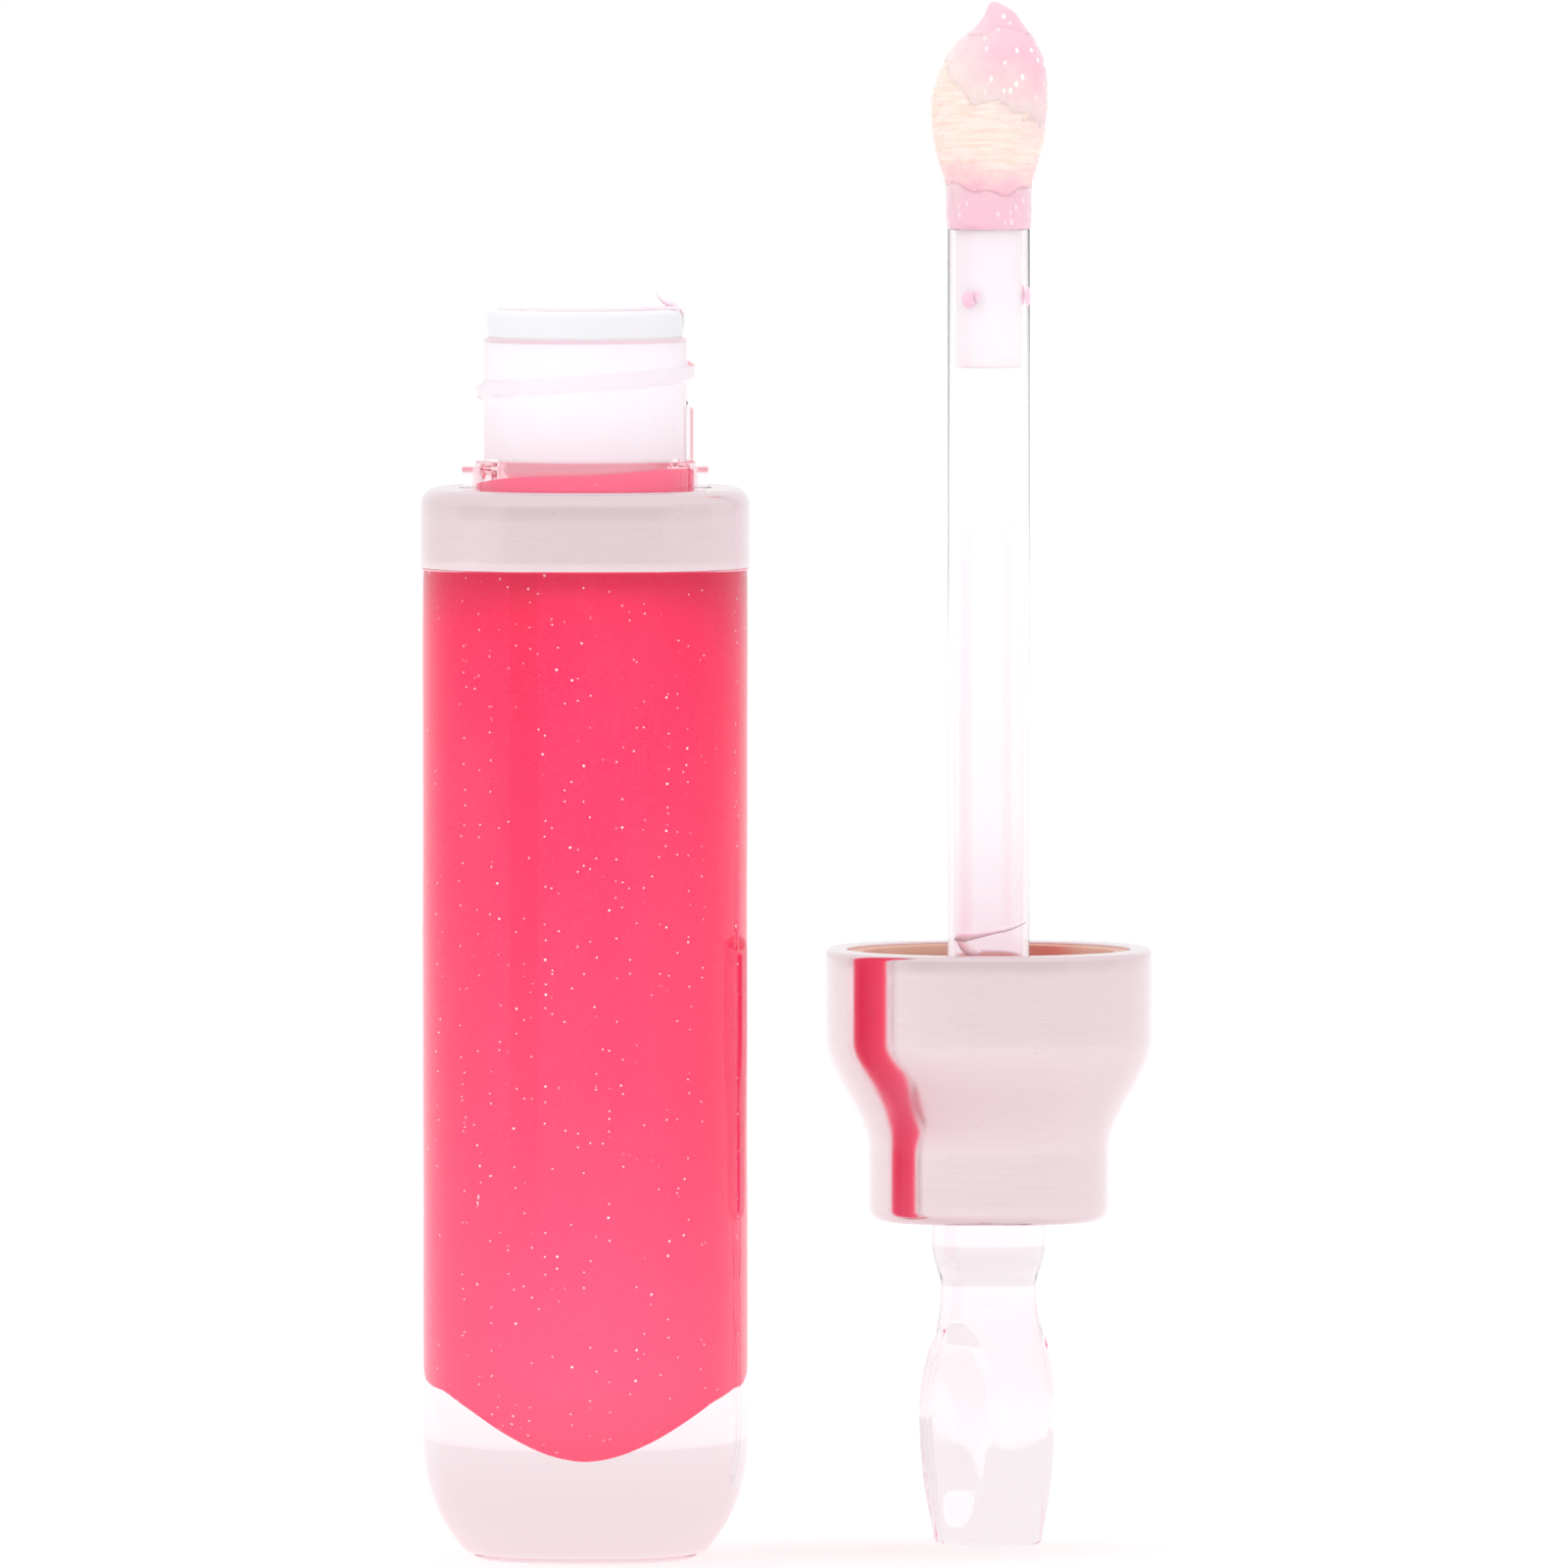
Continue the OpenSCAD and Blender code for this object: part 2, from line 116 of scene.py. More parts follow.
# Wand
SHELL_NARROW_HALF = 7.2
S_START, S_END = 23.6, 30.3
OPENING_R, CAP_BORE_R, TOP_BORE_R, SKIRT_R = 6.95, 6.75, 6.05, 8.47
CEILING_Z, BORE_STEP_Z, CONE_LOW_Z, CONE_TOP_Z = 24.25, 26.7, 25.3, 29.1
RECESS_R, RECESS_H = 7.5, 1.6
PEG_R = 2.65
STEM_BORE_R = STEM_R - 0.4
PAD_ROOT_R, PAD_NECK_Z, PAD_WIDE_Z, PAD_HALF_W = 2.42, 80.9, 85.7, 3.43
PAD_FLAT, PAD_LEAN = 0.72, 0.7


# Mesh making

def smooth(u):
    """Smooth step from 0 to 1."""
    t = np.clip(u, 0, 1)
    return t * t * (3 - 2 * t)


def mix(a, b, u):
    return a + (b - a) * u


def rad(degrees):
    return np.radians(degrees)


def angles(count, extra=()):
    """Directions round the axis in radians, with extra ones (degrees) where edges stand."""
    even = np.arange(count) * TURN / count
    return np.unique(np.round(np.concatenate([even, rad(np.array(extra)) % TURN]), 6))


def ring(a, radius, z, centre=(0, 0)):
    """Points at those directions, radius and height; radius and height may vary with direction."""
    radius, z = np.broadcast_to(radius, a.shape), np.broadcast_to(z, a.shape)
    return np.stack([centre[0] + radius * np.cos(a), centre[1] + radius * np.sin(a), z], 1)


def soft_square(a, half, squareness=2.6):
    """Distance from the axis to the outline of a soft square of that half width."""
    powers = np.abs(np.cos(a)) ** squareness + np.abs(np.sin(a)) ** squareness
    return half * powers ** (-1 / squareness)


def turned(a, profile, centre=(0, 0)):
    """Rings of a turned shape from its outline's (radius, height) points."""
    return [ring(a, r, z, centre) for r, z in profile]


def edge_round(radius, count, start=0, end=math.pi / 2):
    """How far a rounded edge lies inside its two faces, as the angle goes from start to end."""
    return [(radius * (1 - math.cos(t)), radius * (1 - math.sin(t)))
            for t in np.linspace(start, end, count)]


def fillet(corner, before, after, radius, steps=5):
    """Points of the arc that rounds an outline's corner between its two neighbours."""
    p, q, s = (np.array(v, float) for v in (corner, before, after))
    u, v = (q - p) / np.linalg.norm(q - p), (s - p) / np.linalg.norm(s - p)
    half = math.acos(float(np.clip(u @ v, -1, 1))) / 2
    cut = radius / math.tan(half)
    middle = p + (u + v) / np.linalg.norm(u + v) * radius / math.sin(half)
    start, end = p + u * cut - middle, p + v * cut - middle
    points = []
    for i in range(steps + 1):
        w = start + (end - start) * i / steps
        points.append(tuple(middle + w / np.linalg.norm(w) * radius))
    return points


def rounded(outline, radii):
    """A closed outline with each corner rounded by its own radius; 0 keeps the corner."""
    points, count = [], len(outline)
    for i, (corner, radius) in enumerate(zip(outline, radii)):
        if radius:
            points += fillet(corner, outline[i - 1], outline[(i + 1) % count], radius)
        else:
            points.append(tuple(corner))
    return points


def piece(name, vertices, faces, sharp=40):
    """A mesh object from points in millimetres, smooth but for edges sharper than that angle."""
    mesh = bpy.data.meshes.new(name)
    mesh.from_pydata((np.asarray(vertices, float) * MM).tolist(), [], faces)
    mesh.validate()
    mesh.shade_smooth()
    mesh.set_sharp_from_angle(angle=math.radians(sharp))
    made = bpy.data.objects.new(name, mesh)
    bpy.context.scene.collection.objects.link(made)
    return made


def skin(rings, start="pole", end="pole", base=0):
    """Points and faces through rings of equal length. An end is a pole, open, or both are a loop."""
    rings = [np.asarray(r, float) for r in rings]
    n, k = len(rings[0]), len(rings)
    points = np.concatenate(rings)
    faces = []
    for j in range(k if start == "loop" else k - 1):
        low, high = base + j * n, base + (j + 1) % k * n
        faces += [(low + i, low + (i + 1) % n, high + (i + 1) % n, high + i) for i in range(n)]
    if start == "pole":
        faces += [(base + len(points), base + (i + 1) % n, base + i) for i in range(n)]
        points = np.concatenate([points, rings[0].mean(0)[None]])
    if end == "pole":
        low = base + (k - 1) * n
        faces += [(base + len(points), low + i, low + (i + 1) % n) for i in range(n)]
        points = np.concatenate([points, rings[-1].mean(0)[None]])
    return points, faces


def solid(name, rings, start="pole", end="pole", sharp=40):
    return piece(name, *skin(rings, start, end), sharp=sharp)


def joined(name, parts, sharp=60):
    """One piece out of several (points, faces) parts."""
    points, faces = [], []
    for p, f in parts:
        shift = sum(len(q) for q in points)
        points.append(p)
        faces += [tuple(i + shift for i in face) for face in f]
    return piece(name, np.concatenate(points), faces, sharp)


def tube(path, radii, sides=10, flatten=1.0, away=None):
    """Points and faces of a tapering tube; flatten thins it along the directions in away."""
    path, rings = np.array(path, float), []
    for i, p in enumerate(path):
        along = path[min(i + 1, len(path) - 1)] - path[max(i - 1, 0)]
        along /= np.linalg.norm(along)
        out = np.array(away[i] if away is not None else (0, 0, 1), float)
        out -= along * (out @ along)
        out /= np.linalg.norm(out)
        side = np.cross(along, out)
        turn = np.arange(sides) * TURN / sides
        rings.append(p + radii[i] * (np.cos(turn)[:, None] * side
                                     + flatten * np.sin(turn)[:, None] * out))
    return skin(rings)


# Bottle: one clear skin, from the foot over the neck and down into the chamber

def thread_radius(a, z):
    """Radius of the neck's outside with its thread ridge, at directions a and height z."""
    best = np.full(a.shape, NECK_R)
    for turn in (0, 360):
        d = (np.degrees(a) + turn - THREAD_START) % 720
        centre = THREAD_Z + THREAD_LEAD * (THREAD_START + d - 180) / 360
        size = np.clip(np.minimum(d, THREAD_TURN - d) / THREAD_TAPER, 0, 1) * (d < THREAD_TURN)
        away = np.abs(z - centre)
        root, crest = THREAD_ROOT_HALF * size, THREAD_CREST_HALF * size
        rise = np.clip((root - away) / np.maximum(root - crest, 1e-6), 0, 1) * (size > 0)
        best = np.maximum(best, NECK_R + (THREAD_R - NECK_R) * size * smooth(rise))
    return best


def block_radius(a, z, direction, out, half, low, high, base):
    """Radius with a small block that stands out from the base radius between two heights."""
    d = (a - rad(direction) + math.pi) % TURN - math.pi
    inside = (np.abs(np.sin(d)) * out <= half) & (np.cos(d) > 0) & (low <= z) & (z <= high)
    return np.where(inside, np.maximum(base, out / np.maximum(np.cos(d), 0.5)), base)


def body_half(z):
    """Half width of the bottle's body, which draws in to its foot."""
    return HALF_W - FOOT_INSET * np.maximum(0, 1 - z / FOOT_H) ** 2.8


def block_edges(direction, half, out):
    """Directions in degrees just inside and outside a block's two edges."""
    edge = math.degrees(math.asin(half / out))
    return [direction + s * (edge + g) for s in (-1, 1) for g in (-0.05, 0.35)]


def tab_rings(a, base, low, top):
    """Rings up the flange, with the collar's two key tabs flaring a little at their tops."""
    rings = []
    for z in (low, top - 0.4, top - 0.25, top - 0.06, top - 0.001, top):
        r = np.full(a.shape, base)
        out = TAB_OUT - 0.12 * (1 - smooth((z - top + 0.4) / 0.2)) - (0.06 if z > top - 0.05 else 0)
        if z < top:
            for direction in (0, 180):
                r = block_radius(a, z, direction, out, TAB_HALF, low, top, r)
        rings.append(ring(a, r, z))
    return rings


def make_bottle():
    a = angles(320, block_edges(0, TAB_HALF, TAB_OUT) + block_edges(180, TAB_HALF, TAB_OUT)
               + block_edges(0, RIB_HALF, RIB_OUT))
    foot, foot_edge, top_edge = body_half(0.0), 0.45, 0.1
    # The hollow sole: inset from the foot, and height
    sole = [(4.2, 0.35), (1.9, 0.35), (1.3, 0.3), (0.9, 0.12), (0.7, 0.0)]
    rings = [ring(a, soft_square(a, foot - inset), z) for inset, z in sole]
    rings += [ring(a, soft_square(a, foot - inset), z)
              for z, inset in edge_round(foot_edge, 5, 0.25, 1.2)]
    heights = np.concatenate([np.linspace(0.42, FOOT_H, 26), np.linspace(10, COLLAR_Z - 1, 12)])
    rings += [ring(a, soft_square(a, float(body_half(z))), z) for z in heights]
    rings += [ring(a, soft_square(a, HALF_W - inset), COLLAR_Z - drop)
              for inset, drop in edge_round(top_edge, 5)]
    boss = HALF_W - 1.03
    rings += [ring(a, soft_square(a, boss), z) for z in (COLLAR_Z, PLATE_Z)]
    rings += tab_rings(a, FLANGE_R, PLATE_Z, TAB_TOP)
    rings += turned(a, [(FLANGE_R, FLANGE_TOP - 0.12), (FLANGE_R - 0.04, FLANGE_TOP - 0.03),
                        (FLANGE_R - 0.12, FLANGE_TOP)])
    neck = np.linspace(FLANGE_TOP + 0.1, NECK_TOP - 0.15, 76)
    for z in np.concatenate([[FLANGE_TOP + 0.001], neck]):
        slope = max(0.0, z - RIB_TOP + 0.5) * 0.7
        r = block_radius(a, z, 0, RIB_OUT - slope, RIB_HALF, FLANGE_TOP, RIB_TOP, thread_radius(a, z))
        rings.append(ring(a, r, z))
    rings += turned(a, [(NECK_R - 0.03, NECK_TOP - 0.05), (NECK_R - 0.12, NECK_TOP),
                        (BORE_R + 0.08, NECK_TOP), (BORE_R, NECK_TOP - 0.08),
                        (BORE_R, CHAMBER_TOP + 2), (CHAMBER_R, CHAMBER_TOP)])
    rings += turned(a, chamber_profile(0.0))
    return solid("bottle", rings)


def chamber_profile(grow):
    """(radius, height) points down the chamber's wall and round its bowl."""
    bowl_top = GLOSS_Z + BOWL_H
    wall = [(CHAMBER_R + grow, z) for z in np.linspace(CHAMBER_TOP - 0.5, bowl_top, 6)]
    bowl = [((CHAMBER_R + grow) * math.cos(t), bowl_top - (BOWL_H + grow) * math.sin(t))
            for t in np.linspace(0, 1.53, 26)[1:]]
    return wall + bowl


# Collar and wiper

def make_collar():
    """Collar over the shoulder, hollow below, its hole slotted for the tabs."""
    a = angles(320, block_edges(0, TAB_HALF + SLOT_GAP, TAB_OUT)
               + block_edges(180, TAB_HALF + SLOT_GAP, TAB_OUT))
    edge, wall, hole = 1.0, 1.0, FLANGE_R + SLOT_GAP
    inner = HALF_W - wall

    def outline(half, z):
        return ring(a, soft_square(a, half), z)

    def hole_ring(grow, z):
        r = np.full(a.shape, hole + grow)
        for direction in (0, 180):
            r = block_radius(a, z, direction, TAB_OUT + SLOT_GAP + grow, TAB_HALF + SLOT_GAP + grow,
                             -1, 999, r)
        return ring(a, r, z)

    lip = 0.1
    rings = [outline(HALF_W - 0.5, COLLAR_Z)]
    rings += [outline(HALF_W - inset, COLLAR_Z + rise)
              for inset, rise in edge_round(lip, 4, math.pi / 2, 0)]
    rings += [outline(HALF_W, z) for z in np.linspace(COLLAR_Z + 0.6, COLLAR_TOP - edge, 5)]
    rings += [outline(HALF_W - inset, COLLAR_TOP - drop) for inset, drop in edge_round(edge, 10)[1:]]
    rings += [hole_ring(0.08, COLLAR_TOP), hole_ring(0, COLLAR_TOP - 0.08), hole_ring(0, PLATE_Z)]
    rings += [ring(a, soft_square(a, inner), z) for z in (PLATE_Z, COLLAR_Z)]
    return solid("collar", rings, "loop", "loop")


def make_wiper():
    """Soft insert: a rim on the neck, a sleeve down its bore, and a cone to the lip round the stem."""
    sleeve = BORE_R + 0.01
    outline = [(WIPER_LIP_R, WIPER_LIP_Z), (WIPER_LIP_R + WIPER_WALL, WIPER_LIP_Z),
               (sleeve, WIPER_CONE_TOP), (sleeve, NECK_TOP), (RIM_R, NECK_TOP), (RIM_R, MOUTH_TOP),
               (MOUTH_R, MOUTH_TOP), (MOUTH_R, WIPER_CONE_TOP + 0.2), (WIPER_LIP_R, WIPER_LIP_Z + 0.5)]
    radii = [0.1, 0.15, 0.5, 0, 0.18, 0.42, 0.4, 1.2, 0.12]
    return solid("wiper_insert", turned(angles(192), rounded(outline, radii)), "loop", "loop")


# Gloss, and the smear of it on the wiper's rim

def gloss_level(a):
    """Height of the gloss against the neck's bore, at directions a."""
    return FLANGE_TOP - 0.9 + 0.45 * np.cos(a - rad(320)) + 0.1 * np.cos(3 * a + 1)


def make_gloss():
    """The gloss, pressed a little into the bottle so no gap shows, with the closed wand's channel."""
    a = angles(192)
    press, channel_r, channel_low_z = 0.02, 3.7, 10.5
    channel_end_r, channel_end_z = 2.2, 7.1
    cone_slope = (BORE_R - WIPER_LIP_R - WIPER_WALL) / (WIPER_CONE_TOP - WIPER_LIP_Z)

    def cone(z):
        return np.maximum(WIPER_LIP_R + WIPER_WALL + cone_slope * (z - WIPER_LIP_Z) + 0.03, channel_r)

    rings = turned(a, [(r, z) for r, z in reversed(chamber_profile(press))])
    rings += turned(a, [(CHAMBER_R + press, CHAMBER_TOP), (BORE_R + press, CHAMBER_TOP + 2)])
    level = gloss_level(a)
    rings += [ring(a, BORE_R + press, mix(CHAMBER_TOP + 2, level, u)) for u in (0.5, 0.9, 0.99)]
    for u in (0.1, 0.35, 0.7, 1):
        z = level - 0.16 * math.sin(u * math.pi / 2)
        rings.append(ring(a, mix(BORE_R + press, cone(z), u), z))
    rings += [ring(a, cone(mix(level - 0.2, WIPER_LIP_Z + 1, u)), mix(level - 0.2, WIPER_LIP_Z + 1, u))
              for u in (0.3, 0.6, 1)]
    rings += turned(a, [(channel_r, WIPER_LIP_Z), (channel_r, channel_low_z),
                        (channel_end_r, channel_end_z)])
    return solid("gloss", rings)


def make_smear():
    """A thin film round the front of the wiper's rim, thicker at the right, with a curl drawn up."""
    rows, start, end, middle_r = [], 186, 352, 5.0
    for d in np.linspace(start, end, 60):
        a = rad(d)
        wander = 0.12 * math.sin(d * 0.11) + 0.06 * math.sin(d * 0.31 + 1)
        width = 0.22 + 0.14 * math.sin(d * 0.07 + 2) + 0.25 * float(smooth((d - 290) / 50))
        width *= math.sin(math.pi * min(1, (d - start) / 20, (end - d) / 8) / 2 + 0.02)
        height = 0.09 + 0.12 * float(smooth((d - 250) / 70))
        t = np.linspace(0, TURN, 12, endpoint=False)
        r = middle_r + wander + width * np.cos(t)
        z = MOUTH_TOP + 0.002 + height * np.maximum(np.sin(t), -0.05)
        rows.append(np.stack([r * math.cos(a), r * math.sin(a), z], 1))
    film = skin(rows)
    # The curl's line: across, back and above the rim
    curl = [(5.62, -0.75, -0.35), (5.55, -0.75, -0.05), (5.3, -0.7, 0.2), (4.95, -0.64, 0.34),
            (4.65, -0.6, 0.46), (4.42, -0.6, 0.66), (4.28, -0.6, 0.88), (4.2, -0.6, 1.02)]
    path = [(x, y, MOUTH_TOP + z) for x, y, z in curl]
    wisp = tube(path, [0.1, 0.2, 0.3, 0.32, 0.24, 0.15, 0.09, 0.04], 12, 0.6,
                [(0.3, 0, 1)] * len(path))
    run = [(rad(end + 2 * i), MOUTH_TOP - 0.15 * i) for i in range(10)]
    path = [((RIM_R + 0.02) * math.cos(t), (RIM_R + 0.02) * math.sin(t), z) for t, z in run]
    radii = [0.2, 0.24, 0.22, 0.18, 0.15, 0.13, 0.12, 0.13, 0.15, 0.06]
    drip = tube(path, radii, 12, 0.45, [(math.cos(t), math.sin(t), 0) for t, _ in run])
    return joined("rim_smear", [film, wisp, drip])


# Cap

def shell_half(z):
    """Half width of the cap's shell, narrowing in a soft S to the handle."""
    return mix(SHELL_NARROW_HALF, SHELL_HALF, float(smooth((z - S_START) / (S_END - S_START))))


def make_cap():
    a = angles(320)
    low_edge, rim_edge, end_wall = 0.8, 0.35, 1.4
    seat_r, hollow_r = 6.7, 6.3

    def outline(inset, z):
        return ring(a, soft_square(a, shell_half(z) - inset), z, WAND)

    rings = turned(a, [(PEG_R + 0.05, SHELL_Z + end_wall), (PEG_R + 0.05, SHELL_Z + 0.1),
                       (PEG_R + 0.15, SHELL_Z)], WAND)
    rings += [outline(inset, SHELL_Z + rise) for rise, inset in edge_round(low_edge, 12)]
    rings += [outline(0, z) for z in np.concatenate([np.linspace(SHELL_Z + 1.2, S_START, 7)[:-1],
                                                     np.linspace(S_START, S_END, 44),
                                                     np.linspace(S_END, RIM_Z - rim_edge, 7)[1:]])]
    rings += [outline(inset, RIM_Z - drop) for inset, drop in edge_round(rim_edge, 8)[1:]]
    rings += turned(a, [(SKIRT_R + 0.12, RIM_Z), (SKIRT_R + 0.03, RIM_Z - 0.09),
                        (SKIRT_R + 0.03, CONE_TOP_Z), (seat_r, CONE_LOW_Z), (seat_r, CONE_LOW_Z - 0.6),
                        (hollow_r, CONE_LOW_Z - 0.62), (hollow_r, SHELL_Z + end_wall + 0.01)], WAND)
    return solid("cap", rings, "loop", "loop")


def make_cap_liner():
    """The cap's threaded insert, peach inside, with its ceiling and the stem's socket."""
    a = angles(240)
    top, recess_z = RIM_Z - 0.15, RIM_Z - RECESS_H
    boss_r, back_r, seat_r = 4.2, 6.27, 6.67
    back_z, seat_z = 23.05, 24.7
    outside = [(boss_r, PEG_TOP + 0.03), (boss_r, back_z), (back_r, back_z), (back_r, seat_z),
               (seat_r, seat_z), (seat_r, CONE_LOW_Z), (SKIRT_R, CONE_TOP_Z),
               (SKIRT_R, top - 0.1), (SKIRT_R - 0.1, top),
               (RECESS_R + 0.15, top), (RECESS_R + 0.04, top - 0.04), (RECESS_R, top - 0.15),
               (RECESS_R, recess_z + 0.05), (RECESS_R - 0.05, recess_z),
               (OPENING_R, recess_z), (CAP_BORE_R, recess_z - 0.6)]
    rings = turned(a, outside, WAND)
    # The insert's ridge, placed as on the neck of the closed tube
    closed_height = RIM_Z + COLLAR_TOP + 0.15
    ridge_start, ridge_turn, ridge_rise, root_half, flank = 200, 265, 0.52, 0.44, 0.24
    for z in np.linspace(recess_z - 0.65, BORE_STEP_Z, 56):
        on_neck = (270 - np.degrees(a)) % 360
        inward = np.zeros(a.shape)
        for turn in (0, 360):
            d = on_neck + turn - ridge_start
            line = THREAD_Z - THREAD_LEAD / 2 + THREAD_LEAD * (d + ridge_start - 180) / 360
            size = np.clip(np.minimum(d, ridge_turn - d) / THREAD_TAPER, 0, 1)
            rise = np.clip((root_half - np.abs(closed_height - z - line)) / flank, 0, 1)
            inward = np.maximum(inward, ridge_rise * size * smooth(rise))
        rings.append(ring(a, CAP_BORE_R - inward, z, WAND))
    rings += turned(a, [(TOP_BORE_R, BORE_STEP_Z - 0.02), (TOP_BORE_R, CEILING_Z),
                        (STEM_R + 0.03, CEILING_Z), (STEM_R + 0.03, STEM_Z)], WAND)
    return solid("cap_liner", rings)


def make_seal():
    hole, outer = STEM_R + 0.16, TOP_BORE_R - 0.1
    outline = [(hole, SEAL_Z), (outer, SEAL_Z), (outer, SEAL_TOP), (hole, SEAL_TOP)]
    return solid("seal", turned(angles(160), rounded(outline, [0.12] * 4), WAND),
                 "loop", "loop")


# Handle: a clear twisted grip with two leaf-shaped scoops

def handle_half(z):
    """Half width of the grip: it widens from its foot, draws in to a waist and flares to the cap."""
    foot, wide, waist, flare, wide_z, waist_z = 3.05, 3.85, 2.85, 0.55, 8, 15.4
    if z < wide_z:
        return mix(foot, wide, math.sin(rad(90 * z / wide_z)))
    drawn_in = float(smooth((z - wide_z) / (waist_z - wide_z)))
    return mix(wide, waist, drawn_in) + flare * float(smooth((z - waist_z) / 2.4))


LEAF_APEX, LEAF_WIDE_Z, LEAF_DEPTH, LEAF_LIP = 13.8, 8.0, 1.1, 0.3
# Direction at the foot, its turn on the way to the apex and half width at the widest, in degrees
LEAVES = [(222, 12, 46), (12, 6, 36)]


def leaf_cut(a, z, leaf):
    """Radial change that one scoop makes in directions a (degrees) at height z."""
    if z >= LEAF_APEX:
        return np.zeros(a.shape)
    direction, turn, width = leaf
    d = np.abs((a - direction - turn * float(smooth((z - 6) / 8)) + 180) % 360 - 180)
    if z < LEAF_WIDE_Z:
        width *= mix(0.75, 1, math.sin(rad(90 * z / LEAF_WIDE_Z)))
    else:
        width *= 1 - ((z - LEAF_WIDE_Z) / (LEAF_APEX - LEAF_WIDE_Z)) ** 3
    width = max(0.5, width)
    fade = float(smooth((LEAF_APEX - z) / 2.4)) * mix(0.45, 1, float(smooth(z / 4)))
    u = np.minimum(d / width, 1)
    inside = LEAF_LIP * u ** 6 - LEAF_DEPTH * (1 - u * u)
    outside = LEAF_LIP * np.exp(-((d - width) / 10) ** 2)
    return fade * np.where(d < width, inside, outside)


def make_handle():
    a = angles(360)
    rings = []
    heights = np.concatenate([[0, 0.03, 0.1, 0.2], np.linspace(0.35, SHELL_Z, 250)])
    for z in heights:
        chamfer = 0.18 * (1 - float(smooth(z / 0.2)))
        r = soft_square(a, handle_half(z), 2.5)
        for leaf in LEAVES:
            r = r + leaf_cut(np.degrees(a), z, leaf)
        rings.append(ring(a, r - chamfer, z, WAND))
    rings += turned(a, [(PEG_R, SHELL_Z), (PEG_R, PEG_TOP)], WAND)
    return solid("handle_grip", rings)


# Stem, plug and applicator

def make_stem():
    outline = [(STEM_R, STEM_Z), (STEM_R, STEM_TOP), (STEM_BORE_R, STEM_TOP), (STEM_BORE_R, STEM_Z)]
    shape = rounded(outline, [0.05, 0.12, 0.05, 0.05])
    return solid("stem_tube", turned(angles(160), shape, WAND), "loop", "loop")


def make_plug():
    plug_r, flange_r = STEM_BORE_R - 0.03, STEM_R - 0.04
    outline = [(0.001, PLUG_Z), (plug_r - 0.15, PLUG_Z), (plug_r, PLUG_Z + 0.15), (plug_r, STEM_TOP),
               (flange_r, STEM_TOP), (flange_r, PAD_Z)]
    return solid("stem_plug", turned(angles(128), outline, WAND))


def pad_half(z):
    """Half width of the applicator: a neck, a swelling and a round end."""
    if z < PAD_NECK_Z:
        return PAD_ROOT_R
    if z < PAD_WIDE_Z:
        swell = (z - PAD_NECK_Z) / (PAD_WIDE_Z - PAD_NECK_Z)
        return mix(PAD_ROOT_R, PAD_HALF_W, math.sin(rad(90 * swell)))
    reach = (z - PAD_WIDE_Z) / (PAD_TOP + 0.25 - PAD_WIDE_Z)
    return PAD_HALF_W * math.sqrt(max(0, 1 - reach ** 2))


def pad_point(a, z, grow):
    """Point of the applicator's skin in direction a at height z, grown outwards."""
    half = pad_half(z)
    flat = mix(1, PAD_FLAT, float(smooth((z - PAD_NECK_Z) / (PAD_WIDE_Z - PAD_NECK_Z))))
    shift = PAD_LEAN * max(0, (z - PAD_WIDE_Z) / (PAD_TOP - PAD_WIDE_Z)) ** 2
    return np.array([WAND_X + shift + (half + grow) * math.cos(a),
                     WAND_Y + (half * flat + grow) * math.sin(a), z])


def pad_rings(count, levels, grow):
    a = np.arange(count) * TURN / count
    return [[pad_point(t, z, grow(t, z) if callable(grow) else grow) for t in a] for z in levels]


def lumps(p, size, seed=0.0):
    """Smooth noise from -1 to 1 at a point in millimetres, with features of that size."""
    return noise.noise(Vector(p) / size + Vector((seed, seed * 1.7, 0)))


def pad_heights(low, high, count):
    """Heights that close up towards the applicator's end."""
    return [mix(low, high, math.sin(i / count * math.pi / 2)) for i in range(count + 1)]


def make_pad():
    def nap(t, z):
        """The flock's own unevenness: fine grain, and low ridges round the pad."""
        p = pad_point(t, z, 0)
        return -0.05 + 0.035 * lumps(p, 0.12) + 0.05 * lumps((p[0] * 0.5, p[1] * 0.5, z * 3), 0.7, 4)

    levels = [PAD_Z] + pad_heights(PAD_Z + 0.05, PAD_TOP - 0.04, 150)
    return solid("applicator", pad_rings(200, levels, nap), sharp=180)


def make_fibres():
    """Flock standing off the dry part of the pad, mostly on its left, as fine tapering spikes."""
    rng = random.Random(7)
    fibres, corners = 2700, 4
    points, faces = [], []
    while len(points) < fibres * corners:
        z = rng.uniform(PAD_NECK_Z - 0.6, PAD_TOP - 2.2)
        a = rng.uniform(0, TURN)
        dry = 0.35 + 0.65 * (0.5 - 0.5 * math.cos(a)) - max(0, (z - PAD_WIDE_Z) / 5) * 0.6
        if rng.random() > dry:
            continue
        root = pad_point(a, z, -0.08)
        out = pad_point(a, z, 1) - pad_point(a, z, 0)
        out += np.array([rng.gauss(0, 0.25), rng.gauss(0, 0.25), rng.gauss(-0.1, 0.2)])
        out /= np.linalg.norm(out)
        length, width = rng.uniform(0.14, 0.3), rng.uniform(0.012, 0.02)
        side = np.cross(out, (0, 0, 1))
        side /= np.linalg.norm(side)
        up = np.cross(side, out)
        start = len(points)
        points += [root + side * width, root - side * width * 0.5 + up * width,
                   root - side * width * 0.5 - up * width, root + out * length]
        faces += [(start, start + 1, start + 3), (start + 1, start + 2, start + 3),
                  (start + 2, start, start + 3), (start + 2, start + 1, start)]
    return piece("flock_fibres", points, faces)


# Gel on the wand

